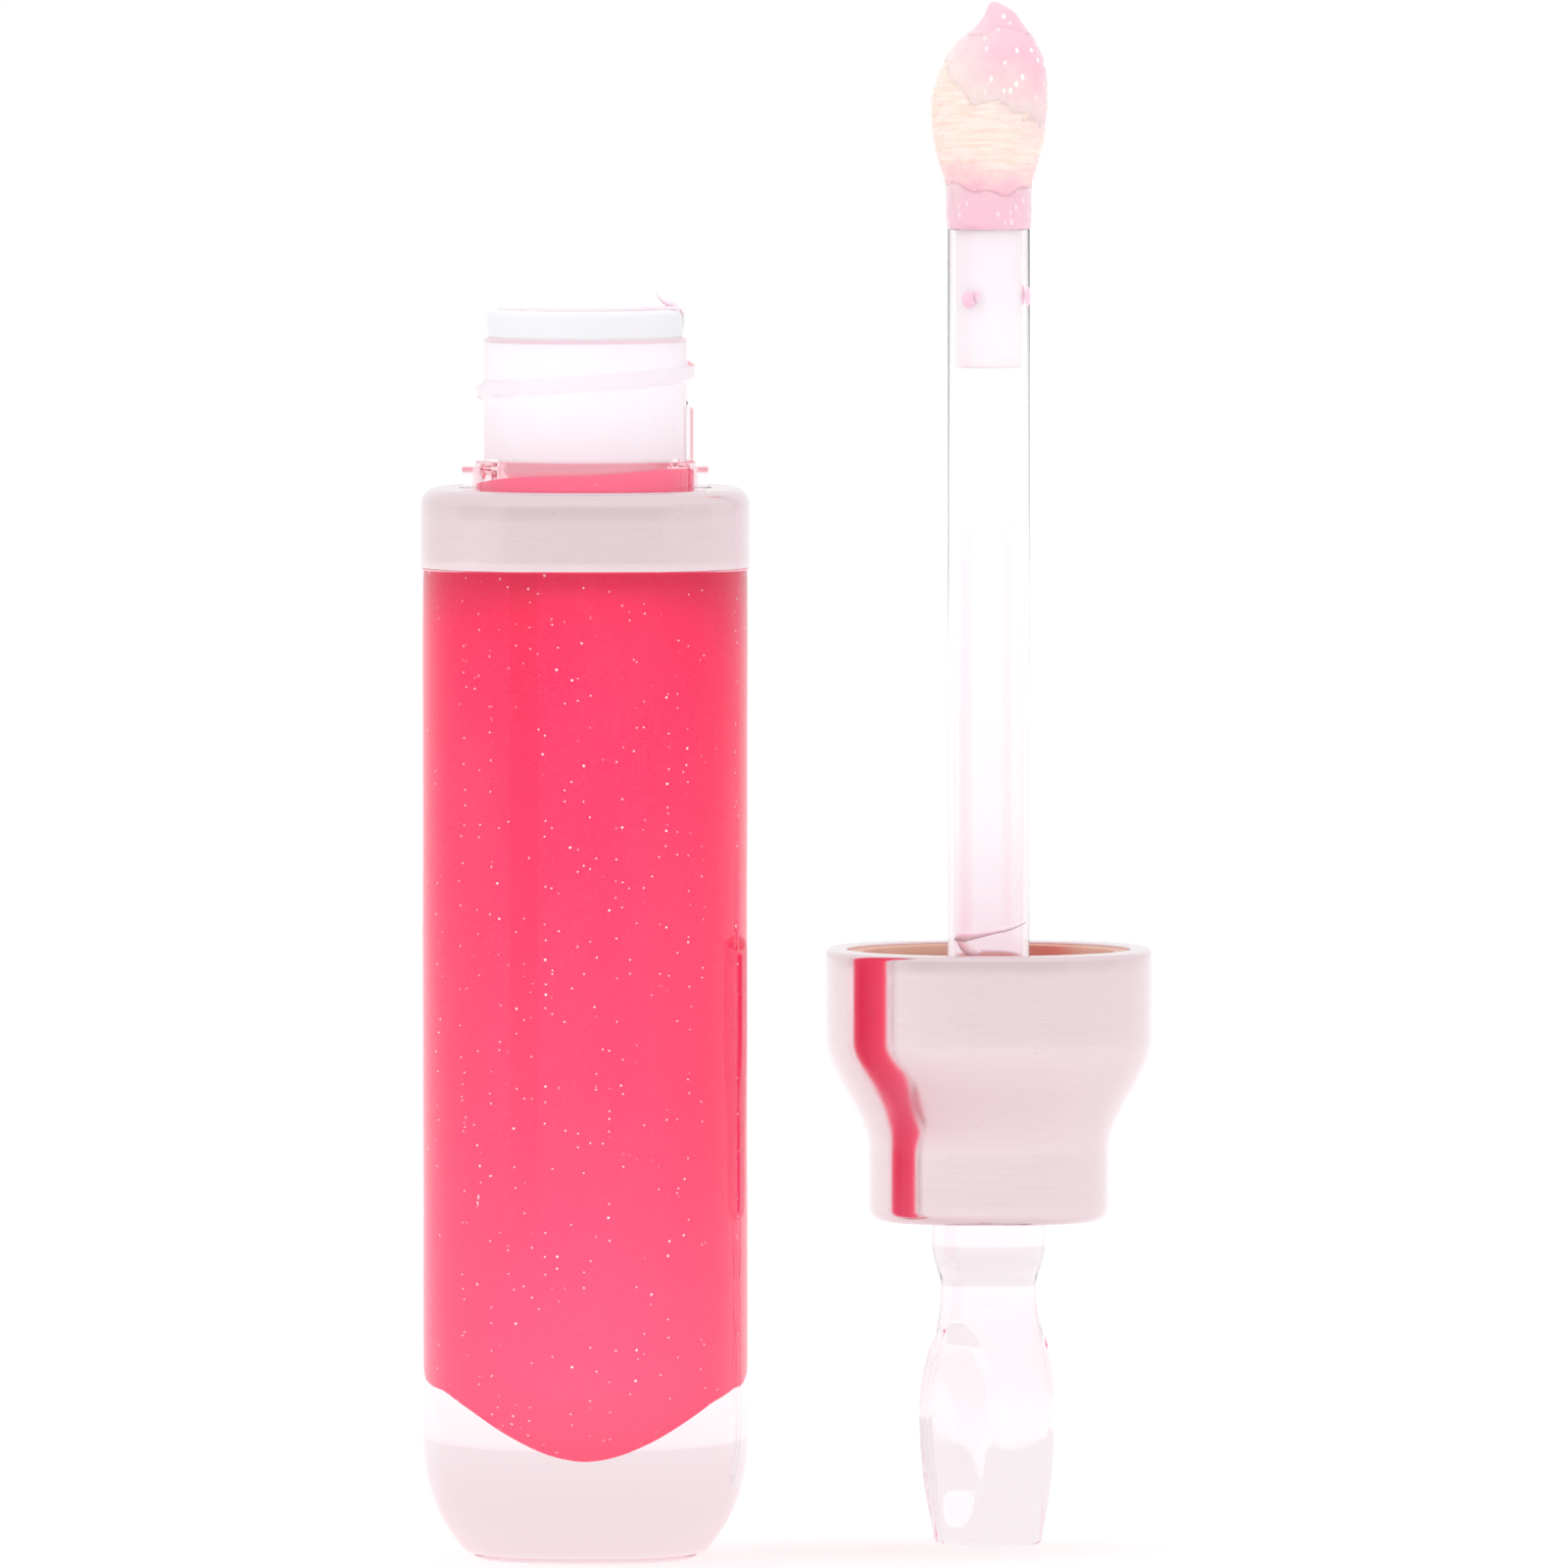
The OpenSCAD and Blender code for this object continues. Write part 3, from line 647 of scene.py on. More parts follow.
def make_film():
    """Gel over the applicator's end: low on its wet right side, thin and high on its dry left."""
    count, rows, buried, crown_h = 160, 46, -0.12, 0.12
    dry_z, wet_z, top = 88.6, 84.6, PAD_TOP - 0.03
    a = np.arange(count) * TURN / count

    def edge(t):
        """Height of the gel's wavy edge."""
        wet = 0.5 + 0.5 * math.cos(t + 0.35)
        return mix(dry_z, wet_z, wet ** 0.8) + 0.35 * math.sin(4 * t) + 0.2 * math.sin(9 * t + 2)

    def grow(t, z, u):
        """The gel's lumpy thickness, which dips into the pad at its edge."""
        p = pad_point(t, z, 0)
        body = 0.02 + 0.16 * float(smooth(u * 2.2)) + 0.05 * lumps(p, 0.5, 2)
        return body + 0.03 * lumps(p, 0.22, 5) + buried * (1 - float(smooth(u * 8)))

    outer = []
    for i in range(rows):
        u = i / (rows - 1)
        s = math.sin(u * math.pi / 2)
        outer.append([pad_point(t, mix(edge(t), top, s), grow(t, mix(edge(t), top, s), u)) for t in a])
    last = np.array(outer[-1])
    crown = last.mean(0) + np.array([0, 0, crown_h])
    for u in (0.3, 0.6, 0.85):
        dome = mix(last, crown, u)
        dome[:, 2] = last[:, 2] + crown_h * math.sin(u * math.pi / 2)
        outer.append(dome)
    inner = [[pad_point(t, mix(edge(t), top, s), buried) for t in a]
             for s in (0.97, 0.8, 0.5, 0.2, 0.02)]
    return skin(inner + outer)


def make_band():
    """Gel gathered in a band where the applicator leaves the stem."""
    a = np.arange(160) * TURN / 160
    rings = []
    # Whether the ring is under the pad's skin, and its place from the band's foot to its top
    places = [(1, 0.0), (0, 0.03), (0, 0.2), (0, 0.45), (0, 0.7), (0, 0.9), (0, 1.0), (1, 1.0)]
    for buried, u in places:
        row = []
        for t in a:
            top = PAD_NECK_Z + 0.15 + 0.3 * math.sin(2 * t + 1) + 0.14 * math.sin(7 * t)
            z = mix(PAD_Z - 0.45, top, u)
            bulge = 0.04 + 0.11 * math.sin(math.pi * min(1, 0.12 + u * 0.88)) ** 0.5
            p = pad_point(t, z, 0)
            bulge += 0.035 * lumps(p, 0.45, 8)
            row.append(pad_point(t, z, -0.1 if buried else bulge if u < 0.95 else -0.02))
        rings.append(row)
    return skin(rings, "loop", "loop")


def make_gel():
    return joined("gel_coat", [make_film(), make_band()], sharp=180)


def make_peak():
    """Blunt peak of gel drawn up at the end, steep on its left."""
    # Height above the peak's foot, half width and shift to the right
    outline = [(-0.75, 1.7, 0.5), (-0.6, 1.9, 0.53), (-0.4, 1.74, 0.57), (-0.2, 1.56, 0.6),
               (0.0, 1.4, 0.63), (0.2, 1.24, 0.65), (0.45, 1.07, 0.67), (0.7, 0.9, 0.66),
               (0.95, 0.7, 0.57), (1.12, 0.54, 0.46), (1.26, 0.36, 0.38), (1.35, 0.2, 0.34),
               (1.39, 0.08, 0.33)]
    flat = 0.76
    a = angles(64)
    rings = []
    for h, half, shift in outline:
        r = half * (1 + 0.06 * np.cos(3 * a + 1) * (h < 1))
        points = ring(a, r, DROP_Z + h, (WAND_X + shift, WAND_Y))
        points[:, 1] = WAND_Y + (points[:, 1] - WAND_Y) * flat
        rings.append(points)
    return solid("gel_peak", rings, sharp=180)


def stem_point(degrees, z, grow=0.0):
    """Point on the stem's outside, grown outwards."""
    return np.array([WAND_X + (STEM_R + grow) * math.cos(rad(degrees)),
                     WAND_Y + (STEM_R + grow) * math.sin(rad(degrees)), z])


def droplet(degrees, z, across, tall, height):
    """A drop of gel clinging to the stem."""
    turn = np.arange(28) * TURN / 28
    spread = math.degrees(across / STEM_R)
    rings = []
    for u in (1.0, 0.97, 0.85, 0.65, 0.4, 0.15):
        grow = -0.03 if u == 1.0 else height * math.sqrt(1 - u * u)
        rings.append([stem_point(degrees + spread * u * math.cos(t), z + tall * u * math.sin(t), grow)
                      for t in turn])
    return skin(rings)


def make_stem_smear():
    """Ridge of gel across the stem above the cap, with a tongue hanging at its left."""
    # Direction in degrees, height and radius along each
    ridge = [(214, 36.25, 0.1), (222, 36.3, 0.26), (232, 36.38, 0.3), (244, 36.45, 0.24),
             (256, 36.52, 0.17), (268, 36.62, 0.14), (280, 36.74, 0.13), (292, 36.84, 0.15),
             (304, 36.95, 0.13), (316, 37.08, 0.1), (328, 37.2, 0.08), (336, 37.28, 0.04)]
    tongue = [(221, 36.35, 0.12), (226, 36.1, 0.24), (232, 35.86, 0.3), (239, 35.66, 0.34),
              (246, 35.52, 0.3), (253, 35.46, 0.2), (259, 35.52, 0.06)]
    return joined("stem_smear", [
        tube([stem_point(d, z) for d, z, _ in way], [r for _, _, r in way], 14, 0.5,
             [(math.cos(rad(d)), math.sin(rad(d)), 0) for d, _, _ in way])
        for way in (ridge, tongue)])


def make_droplets():
    # Direction in degrees, height, half width, half height and thickness
    drops = [(240, 74.45, 0.5, 0.52, 0.16), (340, 74.6, 0.34, 0.6, 0.14), (252, 74.6, 0.2, 0.34, 0.1)]
    return joined("stem_droplets", [droplet(*drop) for drop in drops])


# Materials

def new_tree(name):
    made = bpy.data.materials.new(name)
    made.use_nodes = True
    made.node_tree.nodes.clear()
    return made, made.node_tree


def add(tree, kind, inputs=None, **props):
    """Adds a node; each input is a constant, or the socket that feeds it."""
    made = tree.nodes.new("ShaderNode" + kind)
    for key, value in props.items():
        setattr(made, key, value)
    for key, value in (inputs or {}).items():
        if isinstance(value, bpy.types.NodeSocket):
            tree.links.new(value, made.inputs[key])
        else:
            made.inputs[key].default_value = value
    return made


def place(tree, scale=(1, 1, 1)):
    """Object coordinates in millimetres, stretched by scale."""
    coords = add(tree, "TexCoord").outputs["Object"]
    return add(tree, "Mapping", {"Vector": coords, "Scale": [s / MM for s in scale]}).outputs[0]


def grain(tree, where, scale, detail=2.0, rough=0.5):
    return add(tree, "TexNoise", {"Vector": where, "Scale": scale, "Detail": detail,
                                  "Roughness": rough}).outputs[0]


def remap(tree, value, low, high, to_low=0.0, to_high=1.0):
    return add(tree, "MapRange", {0: value, 1: low, 2: high, 3: to_low, 4: to_high}).outputs[0]


def calc(tree, operation, a, b):
    return add(tree, "Math", {0: a, 1: b}, operation=operation).outputs[0]


def blend(tree, factor, a, b):
    """Colour a, turning into b as factor goes from 0 to 1."""
    return add(tree, "Mix", {0: factor, 6: a, 7: b}, data_type="RGBA").outputs[2]


def bump(tree, height, strength, distance_mm, normal=None):
    inputs = {"Height": height, "Strength": strength, "Distance": distance_mm * MM}
    if normal is not None:
        inputs["Normal"] = normal
    return add(tree, "Bump", inputs).outputs[0]


def rgb(r, g, b):
    """Linear colour with alpha from its 0 to 255 screen values."""
    levels = [c / 255 for c in (r, g, b)]
    return tuple(c / 12.92 if c <= 0.04 else ((c + 0.055) / 1.055) ** 2.4 for c in levels) + (1,)


def finish_surface(tree, shader):
    add(tree, "OutputMaterial", {"Surface": shader})


def finish_plain(tree, inputs):
    """Ends the tree in one principled surface with those inputs."""
    finish_surface(tree, add(tree, "BsdfPrincipled", inputs).outputs[0])


def translucent(weight, radius, scale_mm):
    """Inputs for light that spreads under the surface."""
    return {"Subsurface Weight": weight, "Subsurface Radius": radius, "Subsurface Scale": scale_mm * MM}


def clear_plastic(name, tint, painted_edge_shade, roughness, colour=None):
    """Moulded clear plastic, with painted shade at its edges: its colour turns to the edge colour where
    it is seen edge on. Light passes in as through plain film.
    """
    made, tree = new_tree(name)
    where = place(tree)
    flow = grain(tree, place(tree, (1, 1, 0.35)), 0.22, 1.0)
    scuff = remap(tree, grain(tree, place(tree, (1, 1, 6)), 1.6, 3.0), 0.62, 0.75)
    haze = remap(tree, grain(tree, where, 0.5, 3.0), 0.3, 0.8, roughness * 0.4, roughness * 1.6)
    normal = bump(tree, scuff, 0.04, 0.01, bump(tree, flow, 0.12, 0.25))
    # Painted shade: where the surface is seen edge on, its colour turns to the edge colour. This stands
    # in for what the edges bend into view: darker surroundings, and on the bottle and stem the pink
    # gloss.
    edge = add(tree, "LayerWeight", {"Blend": 0.5}).outputs["Facing"]
    face = colour(tree, tint) if colour else tint
    base = blend(tree, remap(tree, edge, 0.62, 0.97), face, painted_edge_shade)
    glass = add(tree, "BsdfPrincipled", {"Base Color": base, "Roughness": haze, "IOR": 1.49,
                                         "Transmission Weight": 1.0, "Normal": normal}).outputs[0]
    film = add(tree, "BsdfTransparent", {"Color": (1, 1, 1, 1)}).outputs[0]
    path = add(tree, "LightPath").outputs
    unseen = calc(tree, "MAXIMUM", path["Is Shadow Ray"], path["Is Diffuse Ray"])
    finish_surface(tree, add(tree, "MixShader", {0: unseen, 1: glass, 2: film}).outputs[0])
    return made


def specks(tree, where, scale, size, share):
    """Glitter: 1 on small flakes scattered through a share of the cells, 0 between them."""
    cells = add(tree, "TexVoronoi", {"Vector": where, "Scale": scale})
    chosen = remap(tree, add(tree, "SeparateColor", {0: cells.outputs["Color"]}).outputs[0],
                   1 - share, 1 - share + 0.01)
    near = remap(tree, cells.outputs["Distance"], size * 0.6, size, 1.0, 0.0)
    return calc(tree, "MULTIPLY", chosen, near)


def height_of(tree):
    """Height above the floor in millimetres."""
    return add(tree, "SeparateXYZ", {0: place(tree)}).outputs[2]


def gloss_material():
    """Thick pink gloss: paler towards the base, faintly pearled and marbled, with fine glitter and a
    painted reflection: a darker band down its left front.
    """
    made, tree = new_tree("gloss_pearl")
    where = place(tree)
    rise = remap(tree, height_of(tree), GLOSS_Z, GLOSS_Z + 46)
    ramp = add(tree, "ValToRGB", {0: rise})
    stops = [(0.0, (255, 88, 124)), (0.16, (255, 74, 114)), (0.5, (255, 54, 98)), (1.0, (252, 20, 84))]
    elements = ramp.color_ramp.elements
    while len(elements) < len(stops):
        elements.new(0.5)
    for element, (at, colour) in zip(elements, stops):
        element.position, element.color = at, rgb(*colour)
    cloud = remap(tree, grain(tree, place(tree, (1, 1, 0.4)), 0.16, 2.0), 0.35, 0.7)
    colour = blend(tree, calc(tree, "MULTIPLY", cloud, 0.15), ramp.outputs[0], rgb(255, 88, 122))
    pearl = remap(tree, grain(tree, where, 7.0, 2.0, 0.7), 0.5, 0.75, 0.0, 0.14)
    colour = blend(tree, pearl, colour, rgb(255, 150, 175))
    glitter = calc(tree, "MAXIMUM", specks(tree, where, 1.4, 0.12, 0.24),
                   specks(tree, where, 2.8, 0.16, 0.2))
    colour = blend(tree, glitter, colour, rgb(255, 232, 240))
    at = add(tree, "SeparateXYZ", {0: where})
    # Painted reflection: a darker, deeper pink band down the gloss's left front stands in for a
    # reflected dark strip of the studio. It starts at 18 mm and is strongest higher up.
    left, right, soft = -3.95, -2.5, 0.1
    painted_reflection_band = calc(tree, "MULTIPLY", remap(tree, at.outputs[0], left, left + soft),
                  remap(tree, at.outputs[0], right - soft, right, 1.0, 0.0))
    painted_reflection_band = calc(tree, "MULTIPLY", painted_reflection_band, remap(tree, at.outputs[2], 18, 38, 0.0, 0.3))
    colour = blend(tree, painted_reflection_band, colour, rgb(240, 10, 64))
    thin = remap(tree, at.outputs[2], COLLAR_TOP - 2, COLLAR_TOP, 0.0, 0.8)
    colour = blend(tree, thin, colour, rgb(255, 130, 160))
    finish_plain(tree, {"Base Color": colour, "Roughness": 0.35, "Specular IOR Level": 0.0})
    return made


def metal(name, colour, deep, roughness):
    """Satin metallised plastic, brushed in fine level lines, with faint pores and fingermarks."""
    made, tree = new_tree(name)
    lines = grain(tree, place(tree, (0.5, 0.5, 22)), 1.0, 3.0, 0.6)
    cloud = grain(tree, place(tree), 0.18, 2.0)
    pores = remap(tree, grain(tree, place(tree), 5.0, 1.0), 0.76, 0.8)
    base = blend(tree, remap(tree, lines, 0.3, 0.7, 0.0, 0.5), colour, deep)
    base = blend(tree, calc(tree, "MULTIPLY", pores, 0.35), base, rgb(150, 110, 112))
    rough = calc(tree, "ADD", remap(tree, cloud, 0.3, 0.7, roughness * 0.8, roughness * 1.15),
                 remap(tree, lines, 0.3, 0.7, 0.0, 0.05))
    finish_plain(tree, {"Base Color": base, "Metallic": 1.0, "Roughness": rough,
                        "Normal": bump(tree, lines, 0.05, 0.02)})
    return made


def white_plastic(name, colour, stained, low, high, rim=None, subsurface=0.15):
    """Soft white moulding, stained by gloss at low and clean from high up; the rim colour, if given, is
    painted shade on the rim, a greyer white against its stronger light from above.
    """
    made, tree = new_tree(name)
    run = grain(tree, place(tree, (1, 1, 0.5)), 0.5, 3.0)
    level = calc(tree, "ADD", height_of(tree), remap(tree, run, 0.2, 0.8, -1.2, 1.2))
    base = blend(tree, remap(tree, level, low, high, 1.0, 0.0), colour, stained)
    # Painted shade: the rim above the neck's top turns a greyer white, held down against its stronger
    # light from above.
    if rim:
        base = blend(tree, remap(tree, height_of(tree), NECK_TOP - 0.05, NECK_TOP + 0.05), base, rim)
    rough = remap(tree, grain(tree, place(tree), 2.5, 3.0), 0.3, 0.7, 0.3, 0.46)
    normal = bump(tree, grain(tree, place(tree), 3.0, 2.0), 0.05, 0.04)
    finish_plain(tree, {"Base Color": base, "Roughness": rough, "Normal": normal,
                        **translucent(subsurface, (1.0, 0.8, 0.85), 0.6)})
    return made


def tip_colour(tree, where, dry, soaked):
    """The applicator's colour: soaked pink at its root, its end and its wet upper right."""
    at = add(tree, "SeparateXYZ", {0: where})
    patch = grain(tree, where, 0.55, 3.0, 0.6)
    across = remap(tree, at.outputs[0], WAND_X - 3.0, WAND_X + 3.4, -0.9, 1.0)
    upward = remap(tree, at.outputs[2], PAD_WIDE_Z - 2.5, PAD_TOP, -0.9, 1.5)
    wet = calc(tree, "ADD", calc(tree, "ADD", across, upward), remap(tree, patch, 0.2, 0.8, -0.7, 0.7))
    wet = remap(tree, wet, 0.0, 1.9)
    root = calc(tree, "ADD", at.outputs[2], remap(tree, patch, 0.2, 0.8, -1.4, 1.4))
    wet = calc(tree, "MAXIMUM", wet, remap(tree, root, PAD_NECK_Z - 0.5, PAD_NECK_Z + 2.0, 1.0, 0.0))
    return blend(tree, wet, dry, soaked)


def flock_material():
    """Cream flock with fine level ridges of fibre."""
    made, tree = new_tree("flock")
    where = place(tree)
    streaks = grain(tree, place(tree, (0.5, 0.5, 5)), 1.0, 3.0, 0.6)
    dry = blend(tree, remap(tree, streaks, 0.35, 0.65), rgb(251, 232, 224), rgb(250, 214, 200))
    colour = tip_colour(tree, where, dry, rgb(246, 187, 204))
    nap = grain(tree, where, 9.0, 2.0, 0.7)
    colour = blend(tree, remap(tree, nap, 0.3, 0.7, 0.0, 0.2), colour, rgb(253, 236, 232))
    finish_plain(tree, {"Base Color": colour, "Roughness": 0.85, "Sheen Weight": 0.25,
                        "Sheen Roughness": 0.5, "Normal": bump(tree, nap, 0.5, 0.06),
                        **translucent(0.35, (1.0, 0.6, 0.6), 0.8)})
    return made


def gel_material():
    """Wet gel: the tip's colour under a lumpy glossy coat, with painted glints: white specks on its
    upper right and near its foot.
    """
    made, tree = new_tree("gel_wet")
    where = place(tree)
    base = tip_colour(tree, where, rgb(249, 216, 214), rgb(243, 189, 205))
    at = add(tree, "SeparateXYZ", {0: where})
    # Painted highlights: white specks stand in for the gel's glints, on its upper right and, fainter,
    # near the band at the applicator's root.
    glint_area = calc(tree, "MULTIPLY", remap(tree, at.outputs[0], WAND_X - 0.6, WAND_X + 0.3),
                 remap(tree, at.outputs[2], PAD_WIDE_Z + 0.2, PAD_WIDE_Z + 1.4))
    low = remap(tree, at.outputs[2], PAD_NECK_Z, PAD_NECK_Z + 0.3, 1.0, 0.0)
    glint_area = calc(tree, "MAXIMUM", glint_area, calc(tree, "MULTIPLY", low, 0.4))
    painted_glints = specks(tree, place(tree, (1, 1, 0.55)), 2.6, 0.34, 0.42)
    base = blend(tree, calc(tree, "MULTIPLY", painted_glints, glint_area), base, rgb(255, 252, 254))
    normal = bump(tree, grain(tree, where, 3.2, 3.0, 0.6), 0.6, 0.12)
    finish_plain(tree, {"Base Color": base, "Roughness": 0.25, "Coat Weight": 1.0,
                        "Coat Roughness": 0.03, "Normal": normal,
                        **translucent(0.4, (1.0, 0.6, 0.7), 0.6)})
    return made


def smear_material(name, colour, thin):
    """Pale film of gloss, wet and a little cloudy."""
    made, tree = new_tree(name)
    base = blend(tree, remap(tree, grain(tree, place(tree), 0.8, 3.0), 0.3, 0.7), colour, thin)
    normal = bump(tree, grain(tree, place(tree), 3.0), 0.2, 0.05)
    finish_plain(tree, {"Base Color": base, "Roughness": 0.15, "Coat Weight": 0.6,
                        "Coat Roughness": 0.05, "Normal": normal,
                        **translucent(0.5, (1.0, 0.6, 0.7), 0.4)})
    return made


def body_colour(tree, tint):
    """The bottle's tint: deeper and pinker in its thick foot, partly its own tint and partly painted
    reflection of the gloss; painted pink where the gloss shows through the flange; painted shade on the
    thread's crest; and painted pink reflections of the gloss on the tab tops, the stop rib and the
    neck's top edge.
    """
    height = height_of(tree)
    # The foot's deeper pink is partly the thick plastic's own tint and partly painted reflection of the
    # gloss caught inside it.
    foot = blend(tree, remap(tree, height, GLOSS_Z - 3, GLOSS_Z + 8), rgb(238, 220, 225), tint)
    # Painted see-through: the flange inside the collar's hole turns pink where the gloss would show
    # through it.
    flange = calc(tree, "MULTIPLY", remap(tree, height, COLLAR_TOP - 0.3, COLLAR_TOP + 0.3),
                  remap(tree, height, FLANGE_TOP - 0.05, FLANGE_TOP + 0.1, 0.8, 0.0))
    x = add(tree, "SeparateXYZ", {0: place(tree)}).outputs[0]
    outside = remap(tree, calc(tree, "ABSOLUTE", x, 0.0), FLANGE_R + 0.06, FLANGE_R + 0.21)
    painted_refraction = blend(tree, calc(tree, "MULTIPLY", flange, calc(tree, "SUBTRACT", 1.0, outside)), foot,
                  rgb(255, 212, 221))
    # Painted reflections of the gloss: pink lines on the tab tops, down the stop rib and round the
    # neck's top edge.
    tops = calc(tree, "MULTIPLY", outside, remap(tree, height, TAB_TOP - 0.4, TAB_TOP - 0.25, 0.0, 0.8))
    rib = calc(tree, "MULTIPLY", remap(tree, x, RIB_OUT - 0.25, RIB_OUT - 0.1),
               remap(tree, height, RIB_TOP, RIB_TOP + 0.1, 0.6, 0.0))
    lip = remap(tree, height, NECK_TOP - 0.3, NECK_TOP - 0.2, 0.0, 0.5)
    above = remap(tree, height, FLANGE_TOP, FLANGE_TOP + 0.1)
    painted_edge_reflection = calc(tree, "MULTIPLY", calc(tree, "MAXIMUM", rib, lip), above)
    out = add(tree, "VectorMath", {0: place(tree, (1, 1, 0))}, operation="LENGTH").outputs["Value"]
    # Painted shade on the thread's crest stands in for the way its faces bend the light.
    crest = calc(tree, "MULTIPLY", remap(tree, out, NECK_R + 0.06, NECK_R + 0.2, 0.0, 0.4), above)
    painted_refraction = blend(tree, crest, painted_refraction, rgb(238, 214, 220))
    return blend(tree, calc(tree, "MAXIMUM", tops, painted_edge_reflection), painted_refraction, rgb(238, 132, 152))


def stem_colour(tree, tint):
    """The stem's tint, pinker where gloss has run to the cap and below the applicator."""
    run = remap(tree, grain(tree, place(tree, (1, 1, 0.4)), 0.5, 3.0), 0.2, 0.8, -2.0, 2.0)
    level = calc(tree, "ADD", height_of(tree), run)
    low = remap(tree, level, RIM_Z + 0.5, RIM_Z + 8, 1.0, 0.0)
    high = remap(tree, level, STEM_TOP - 7, STEM_TOP + 1, 0.0, 0.7)
    return blend(tree, calc(tree, "MAXIMUM", low, high), tint, rgb(252, 240, 245))


def make_materials():
    """Every material by its short name."""
    rose, rose_deep = rgb(229, 211, 215), rgb(221, 200, 205)
    peach, peach_deep = rgb(232, 186, 168), rgb(220, 165, 145)
    # The wiper's rim colour is painted shade, greyer than the wiper itself.
    wiper, wiper_stain, wiper_rim_shade = rgb(243, 239, 244), rgb(246, 229, 234), rgb(228, 227, 231)
    seal, seal_stain = rgb(248, 244, 246), rgb(248, 214, 224)
    plug, plug_stain = rgb(240, 238, 240), rgb(243, 226, 232)
    return {
        # Each clear plastic's second colour is its painted edge shade.
        "body": clear_plastic("clear_body", rgb(255, 252, 254), rgb(236, 206, 216), 0.02, body_colour),
        "handle": clear_plastic("clear_handle", rgb(247, 237, 241), rgb(170, 158, 176), 0.03),
        "stem": clear_plastic("clear_stem", rgb(255, 252, 254), rgb(240, 206, 220), 0.05, stem_colour),
        "gloss": gloss_material(),
        "rose": metal("rose_metal", rose, rose_deep, 0.13),
        "peach": metal("peach_metal", peach, peach_deep, 0.45),
        "wiper": white_plastic("wiper_white", wiper, wiper_stain, WIPER_LIP_Z + 2.5,
                               WIPER_CONE_TOP + 3, wiper_rim_shade),
        "seal": white_plastic("seal_white", seal, seal_stain, SEAL_Z, SEAL_Z + 0.2),
        "plug": white_plastic("plug_white", plug, plug_stain, PLUG_Z - 1, PLUG_Z + 1.2, subsurface=0.3),
        "flock": flock_material(),
        "gel": gel_material(),
        "drops": smear_material("gel_drops", rgb(248, 188, 208), rgb(251, 212, 226)),
        "smear": smear_material("gel_smear", rgb(247, 208, 222), rgb(251, 228, 236)),
    }


# Assembly

def assemble():
    """Builds every piece, with its body, its material and the nodes it stands for; the slot in each row
    is not used.
    """
    look = make_materials()
    rows = [
        (make_bottle(), "bottle", "body", "clear_body", ["bottle_body"]),
        (make_collar(), "bottle", "rose", "rose_metal", ["shoulder_collar"]),
        (make_wiper(), "bottle", "wiper", "wiper_white", ["wiper"]),
        (make_gloss(), "bottle", "gloss", "gloss_pink", ["gloss_fill"]),
        (make_smear(), "bottle", "smear", "gloss_pink", ["mouth_smear"]),
        (make_cap(), "wand", "rose", "rose_metal", ["cap_shell"]),
        (make_cap_liner(), "wand", "peach", "rose_inner", ["inner_cap"]),
        (make_seal(), "seal", "seal", "seal_white", ["seal_ring"]),
        (make_handle(), "wand", "handle", "clear_handle", ["handle"]),
        (make_stem(), "wand", "stem", "clear_stem", ["stem"]),
        (make_plug(), "wand", "plug", "plug_white", ["tip_plug"]),
        (make_pad(), "wand", "flock", "flock", ["flock_pad", "tip_core"]),
        (make_fibres(), "wand", "flock", "flock", []),
        (make_gel(), "wand", "gel", "gloss_pink", ["gloss_coat"]),
        (make_peak(), "drop", "gel", "gloss_pink", ["gloss_drop"]),
        (make_stem_smear(), "wand", "smear", "gloss_pink", []),
        (make_droplets(), "wand", "drops", "gloss_pink", []),
    ]
    made = {}
    for obj, body, material, slot, nodes in rows:
        obj.data.materials.append(look[material])
        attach(obj, body)
        if nodes:
            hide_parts(*nodes)
        made[obj.name] = obj
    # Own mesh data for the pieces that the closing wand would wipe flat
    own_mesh(made["gel_peak"])
    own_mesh(made["rim_smear"])
    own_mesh(made["stem_smear"])
    return made


# Studio

def make_floor():
    """Matt white table, its grain too fine to show."""
    made, tree = new_tree("floor_white")
    mottle = grain(tree, add(tree, "TexCoord").outputs["Object"], 3.0)
    tone = remap(tree, mottle, 0.3, 0.7, 0.985, 0.995)
    colour = add(tree, "CombineColor", {0: tone, 1: tone, 2: tone}).outputs[0]
    finish_plain(tree, {"Base Color": colour, "Roughness": 0.9, "Specular IOR Level": 0.0})
    radius, middle_r, drop = 2500, 60, -0.05
    a = angles(96)
    floor = piece("floor", *skin([ring(a, r, drop) for r in (radius, middle_r)], "open", "pole"))
    floor.data.materials.append(made)


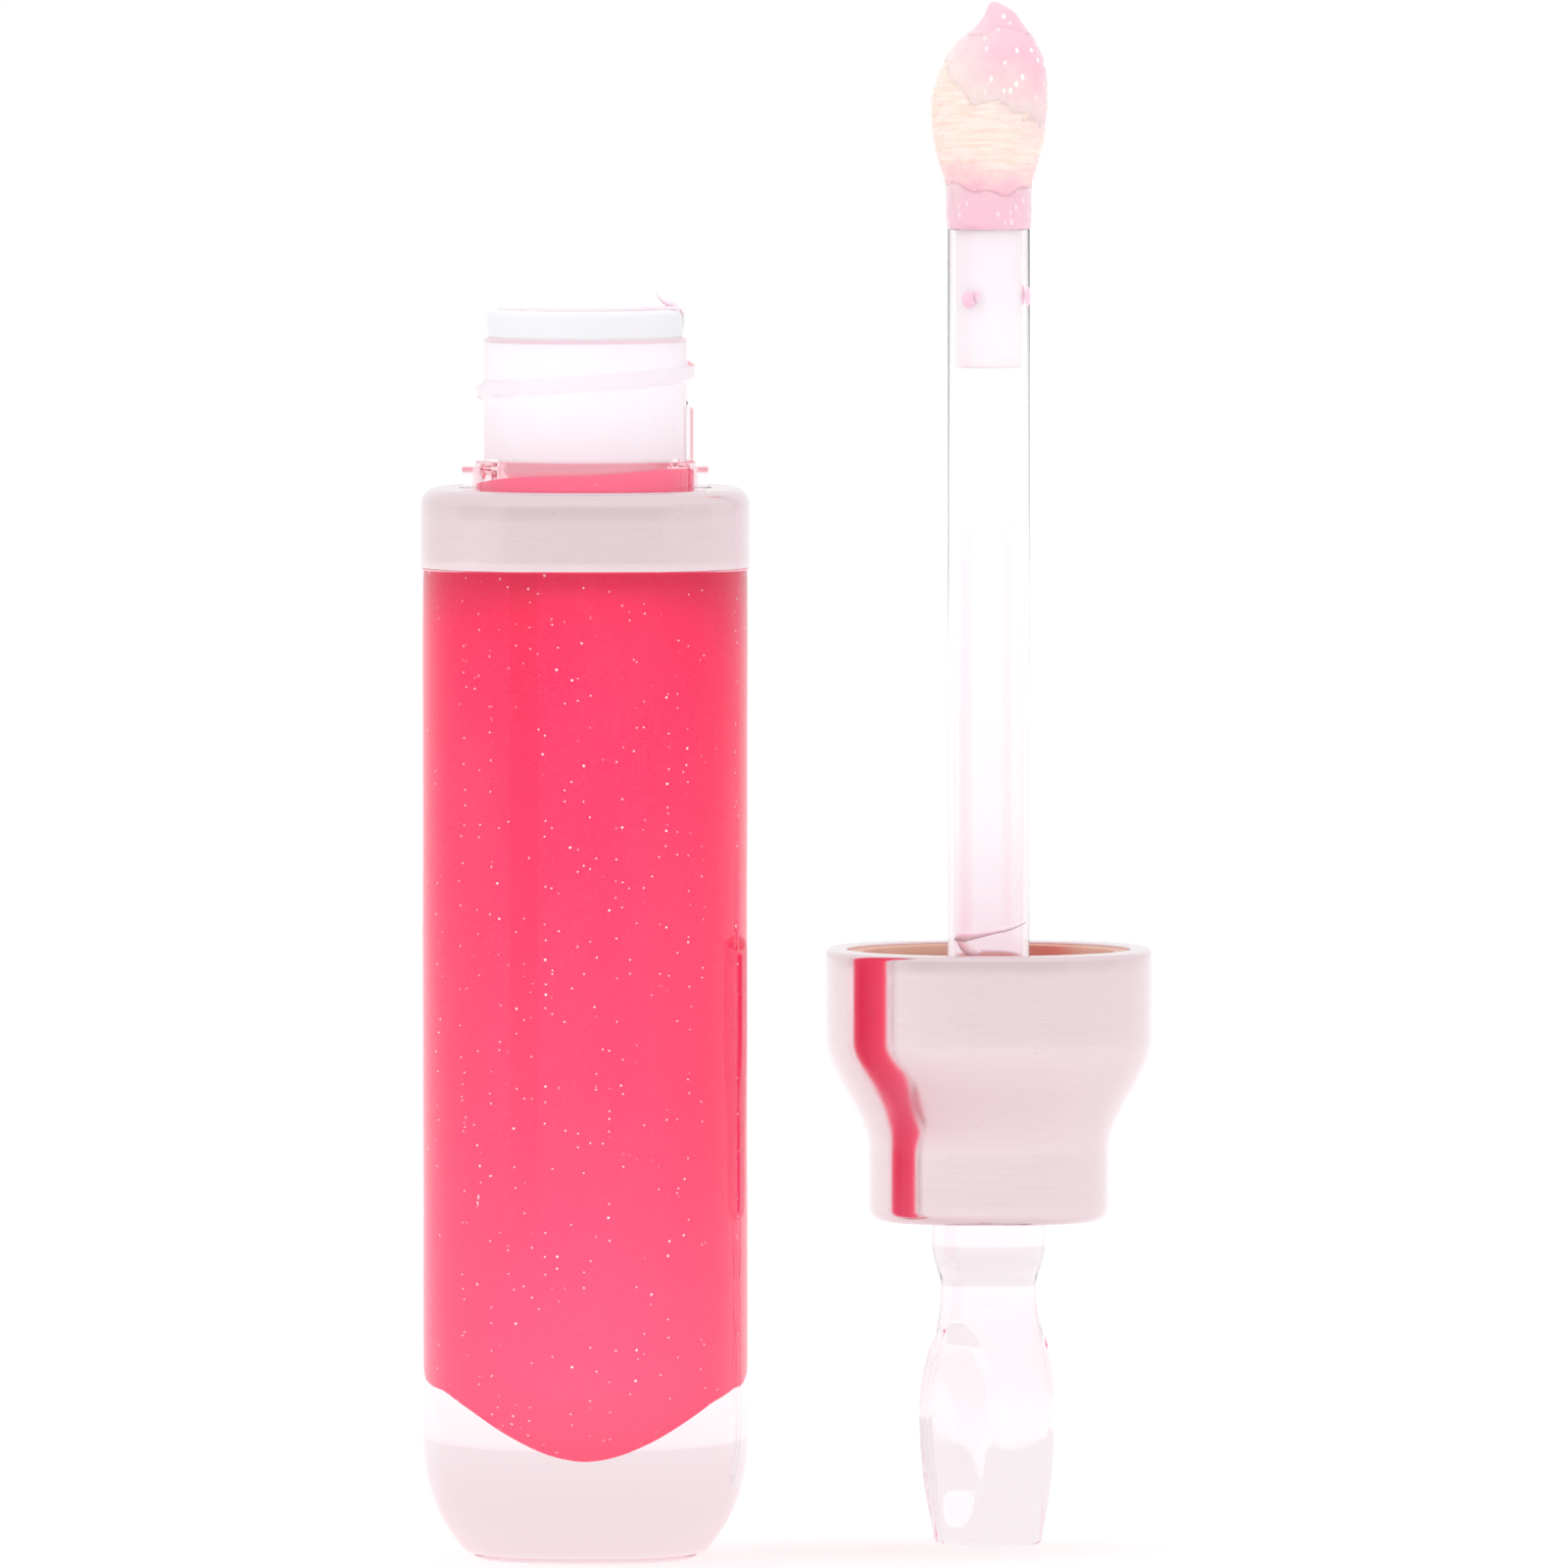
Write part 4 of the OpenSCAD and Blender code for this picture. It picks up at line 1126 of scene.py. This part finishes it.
def make_world():
    """White studio: greyer in front, a little grey at the sides, and brighter overhead."""
    world = bpy.data.worlds.new("studio")
    bpy.context.scene.world = world
    world.use_nodes = True
    tree = world.node_tree
    tree.nodes.clear()
    axis = add(tree, "SeparateXYZ", {0: add(tree, "TexCoord").outputs["Generated"]})
    x, y, z = axis.outputs
    # Angle from the front in radians, and how far the screen and the walls reach
    round_angle = calc(tree, "ARCTAN2", calc(tree, "MULTIPLY", y, -1.0), x)
    facing = calc(tree, "ABSOLUTE", calc(tree, "SUBTRACT", round_angle, math.pi / 2), 0.0)
    screen = remap(tree, facing, 0.62, 0.72, 1.0, 0.0)
    walls = remap(tree, facing, 1.5, 1.7, 1.0, 0.0)
    upright = remap(tree, calc(tree, "ABSOLUTE", z, 0.0), 0.15, 0.5, 1.0, 0.0)
    dim = calc(tree, "ADD", calc(tree, "MULTIPLY", screen, 0.07), calc(tree, "MULTIPLY", walls, 0.06))
    overhead = remap(tree, z, 0.15, 0.7, 0.0, 0.04)
    shaded = calc(tree, "SUBTRACT", 1.01, calc(tree, "MULTIPLY", dim, upright))
    strength = calc(tree, "ADD", shaded, overhead)
    colour = add(tree, "CombineColor", {0: strength, 1: strength, 2: strength}).outputs[0]
    back = add(tree, "Background", {"Color": colour, "Strength": 1.0})
    add(tree, "OutputWorld", {"Surface": back.outputs[0]})


def make_light(name, place_at, look_at, size, power, lit=()):
    """Soft light that leaves no hard reflection; it falls only on the pieces in lit, if any."""
    data = bpy.data.lights.new(name, "AREA")
    data.shape, data.size, data.size_y, data.energy = "RECTANGLE", size[0], size[1], power
    made = bpy.data.objects.new(name, data)
    bpy.context.scene.collection.objects.link(made)
    made.location = place_at
    made.rotation_euler = (Vector(look_at) - Vector(place_at)).to_track_quat("-Z", "Y").to_euler()
    made.visible_glossy = made.visible_transmission = False
    if lit:
        receivers = bpy.data.collections.new(name + "_lit")
        for obj in lit:
            receivers.objects.link(obj)
        made.light_linking.receiver_collection = receivers


def make_camera():
    """Long lens a little above the table, from the front."""
    centre = Vector((11.78, 0, 45.9)) * MM
    distance, elevation, picture = 1.5, math.radians(2.7), 93.02 * MM
    data = bpy.data.cameras.new("camera")
    data.sensor_width = 36
    data.lens = 36 * distance / picture
    data.clip_start, data.clip_end = 0.05, 20
    made = bpy.data.objects.new("camera", data)
    bpy.context.scene.collection.objects.link(made)
    back = Vector((0, -math.cos(elevation), math.sin(elevation)))
    made.location = centre + back * distance
    made.rotation_euler = (-back).to_track_quat("-Z", "Y").to_euler()
    bpy.context.scene.camera = made


pieces = assemble()
make_floor()
make_world()
make_camera()
middle = (CAD_BOX[0] + CAD_BOX[1]) / 2
make_light("key", (0.3, -1.0, 0.4), middle, (0.3, 0.3), 1.6, pieces.values())
make_light("front", (0.1, -1.0, 0.1), middle, (0.6, 0.6), 1.6, [pieces["gloss"]])
make_light("fill", (-0.9, -0.3, 0.5), middle, (0.5, 0.8), 1.2)
make_light("top", (0.0, 0.25, 1.0), middle, (0.8, 0.6), 1.1)
bpy.context.scene.view_settings.view_transform = "Standard"
bounces = bpy.context.scene.cycles
bounces.max_bounces = bounces.transmission_bounces = bounces.glossy_bounces = 20
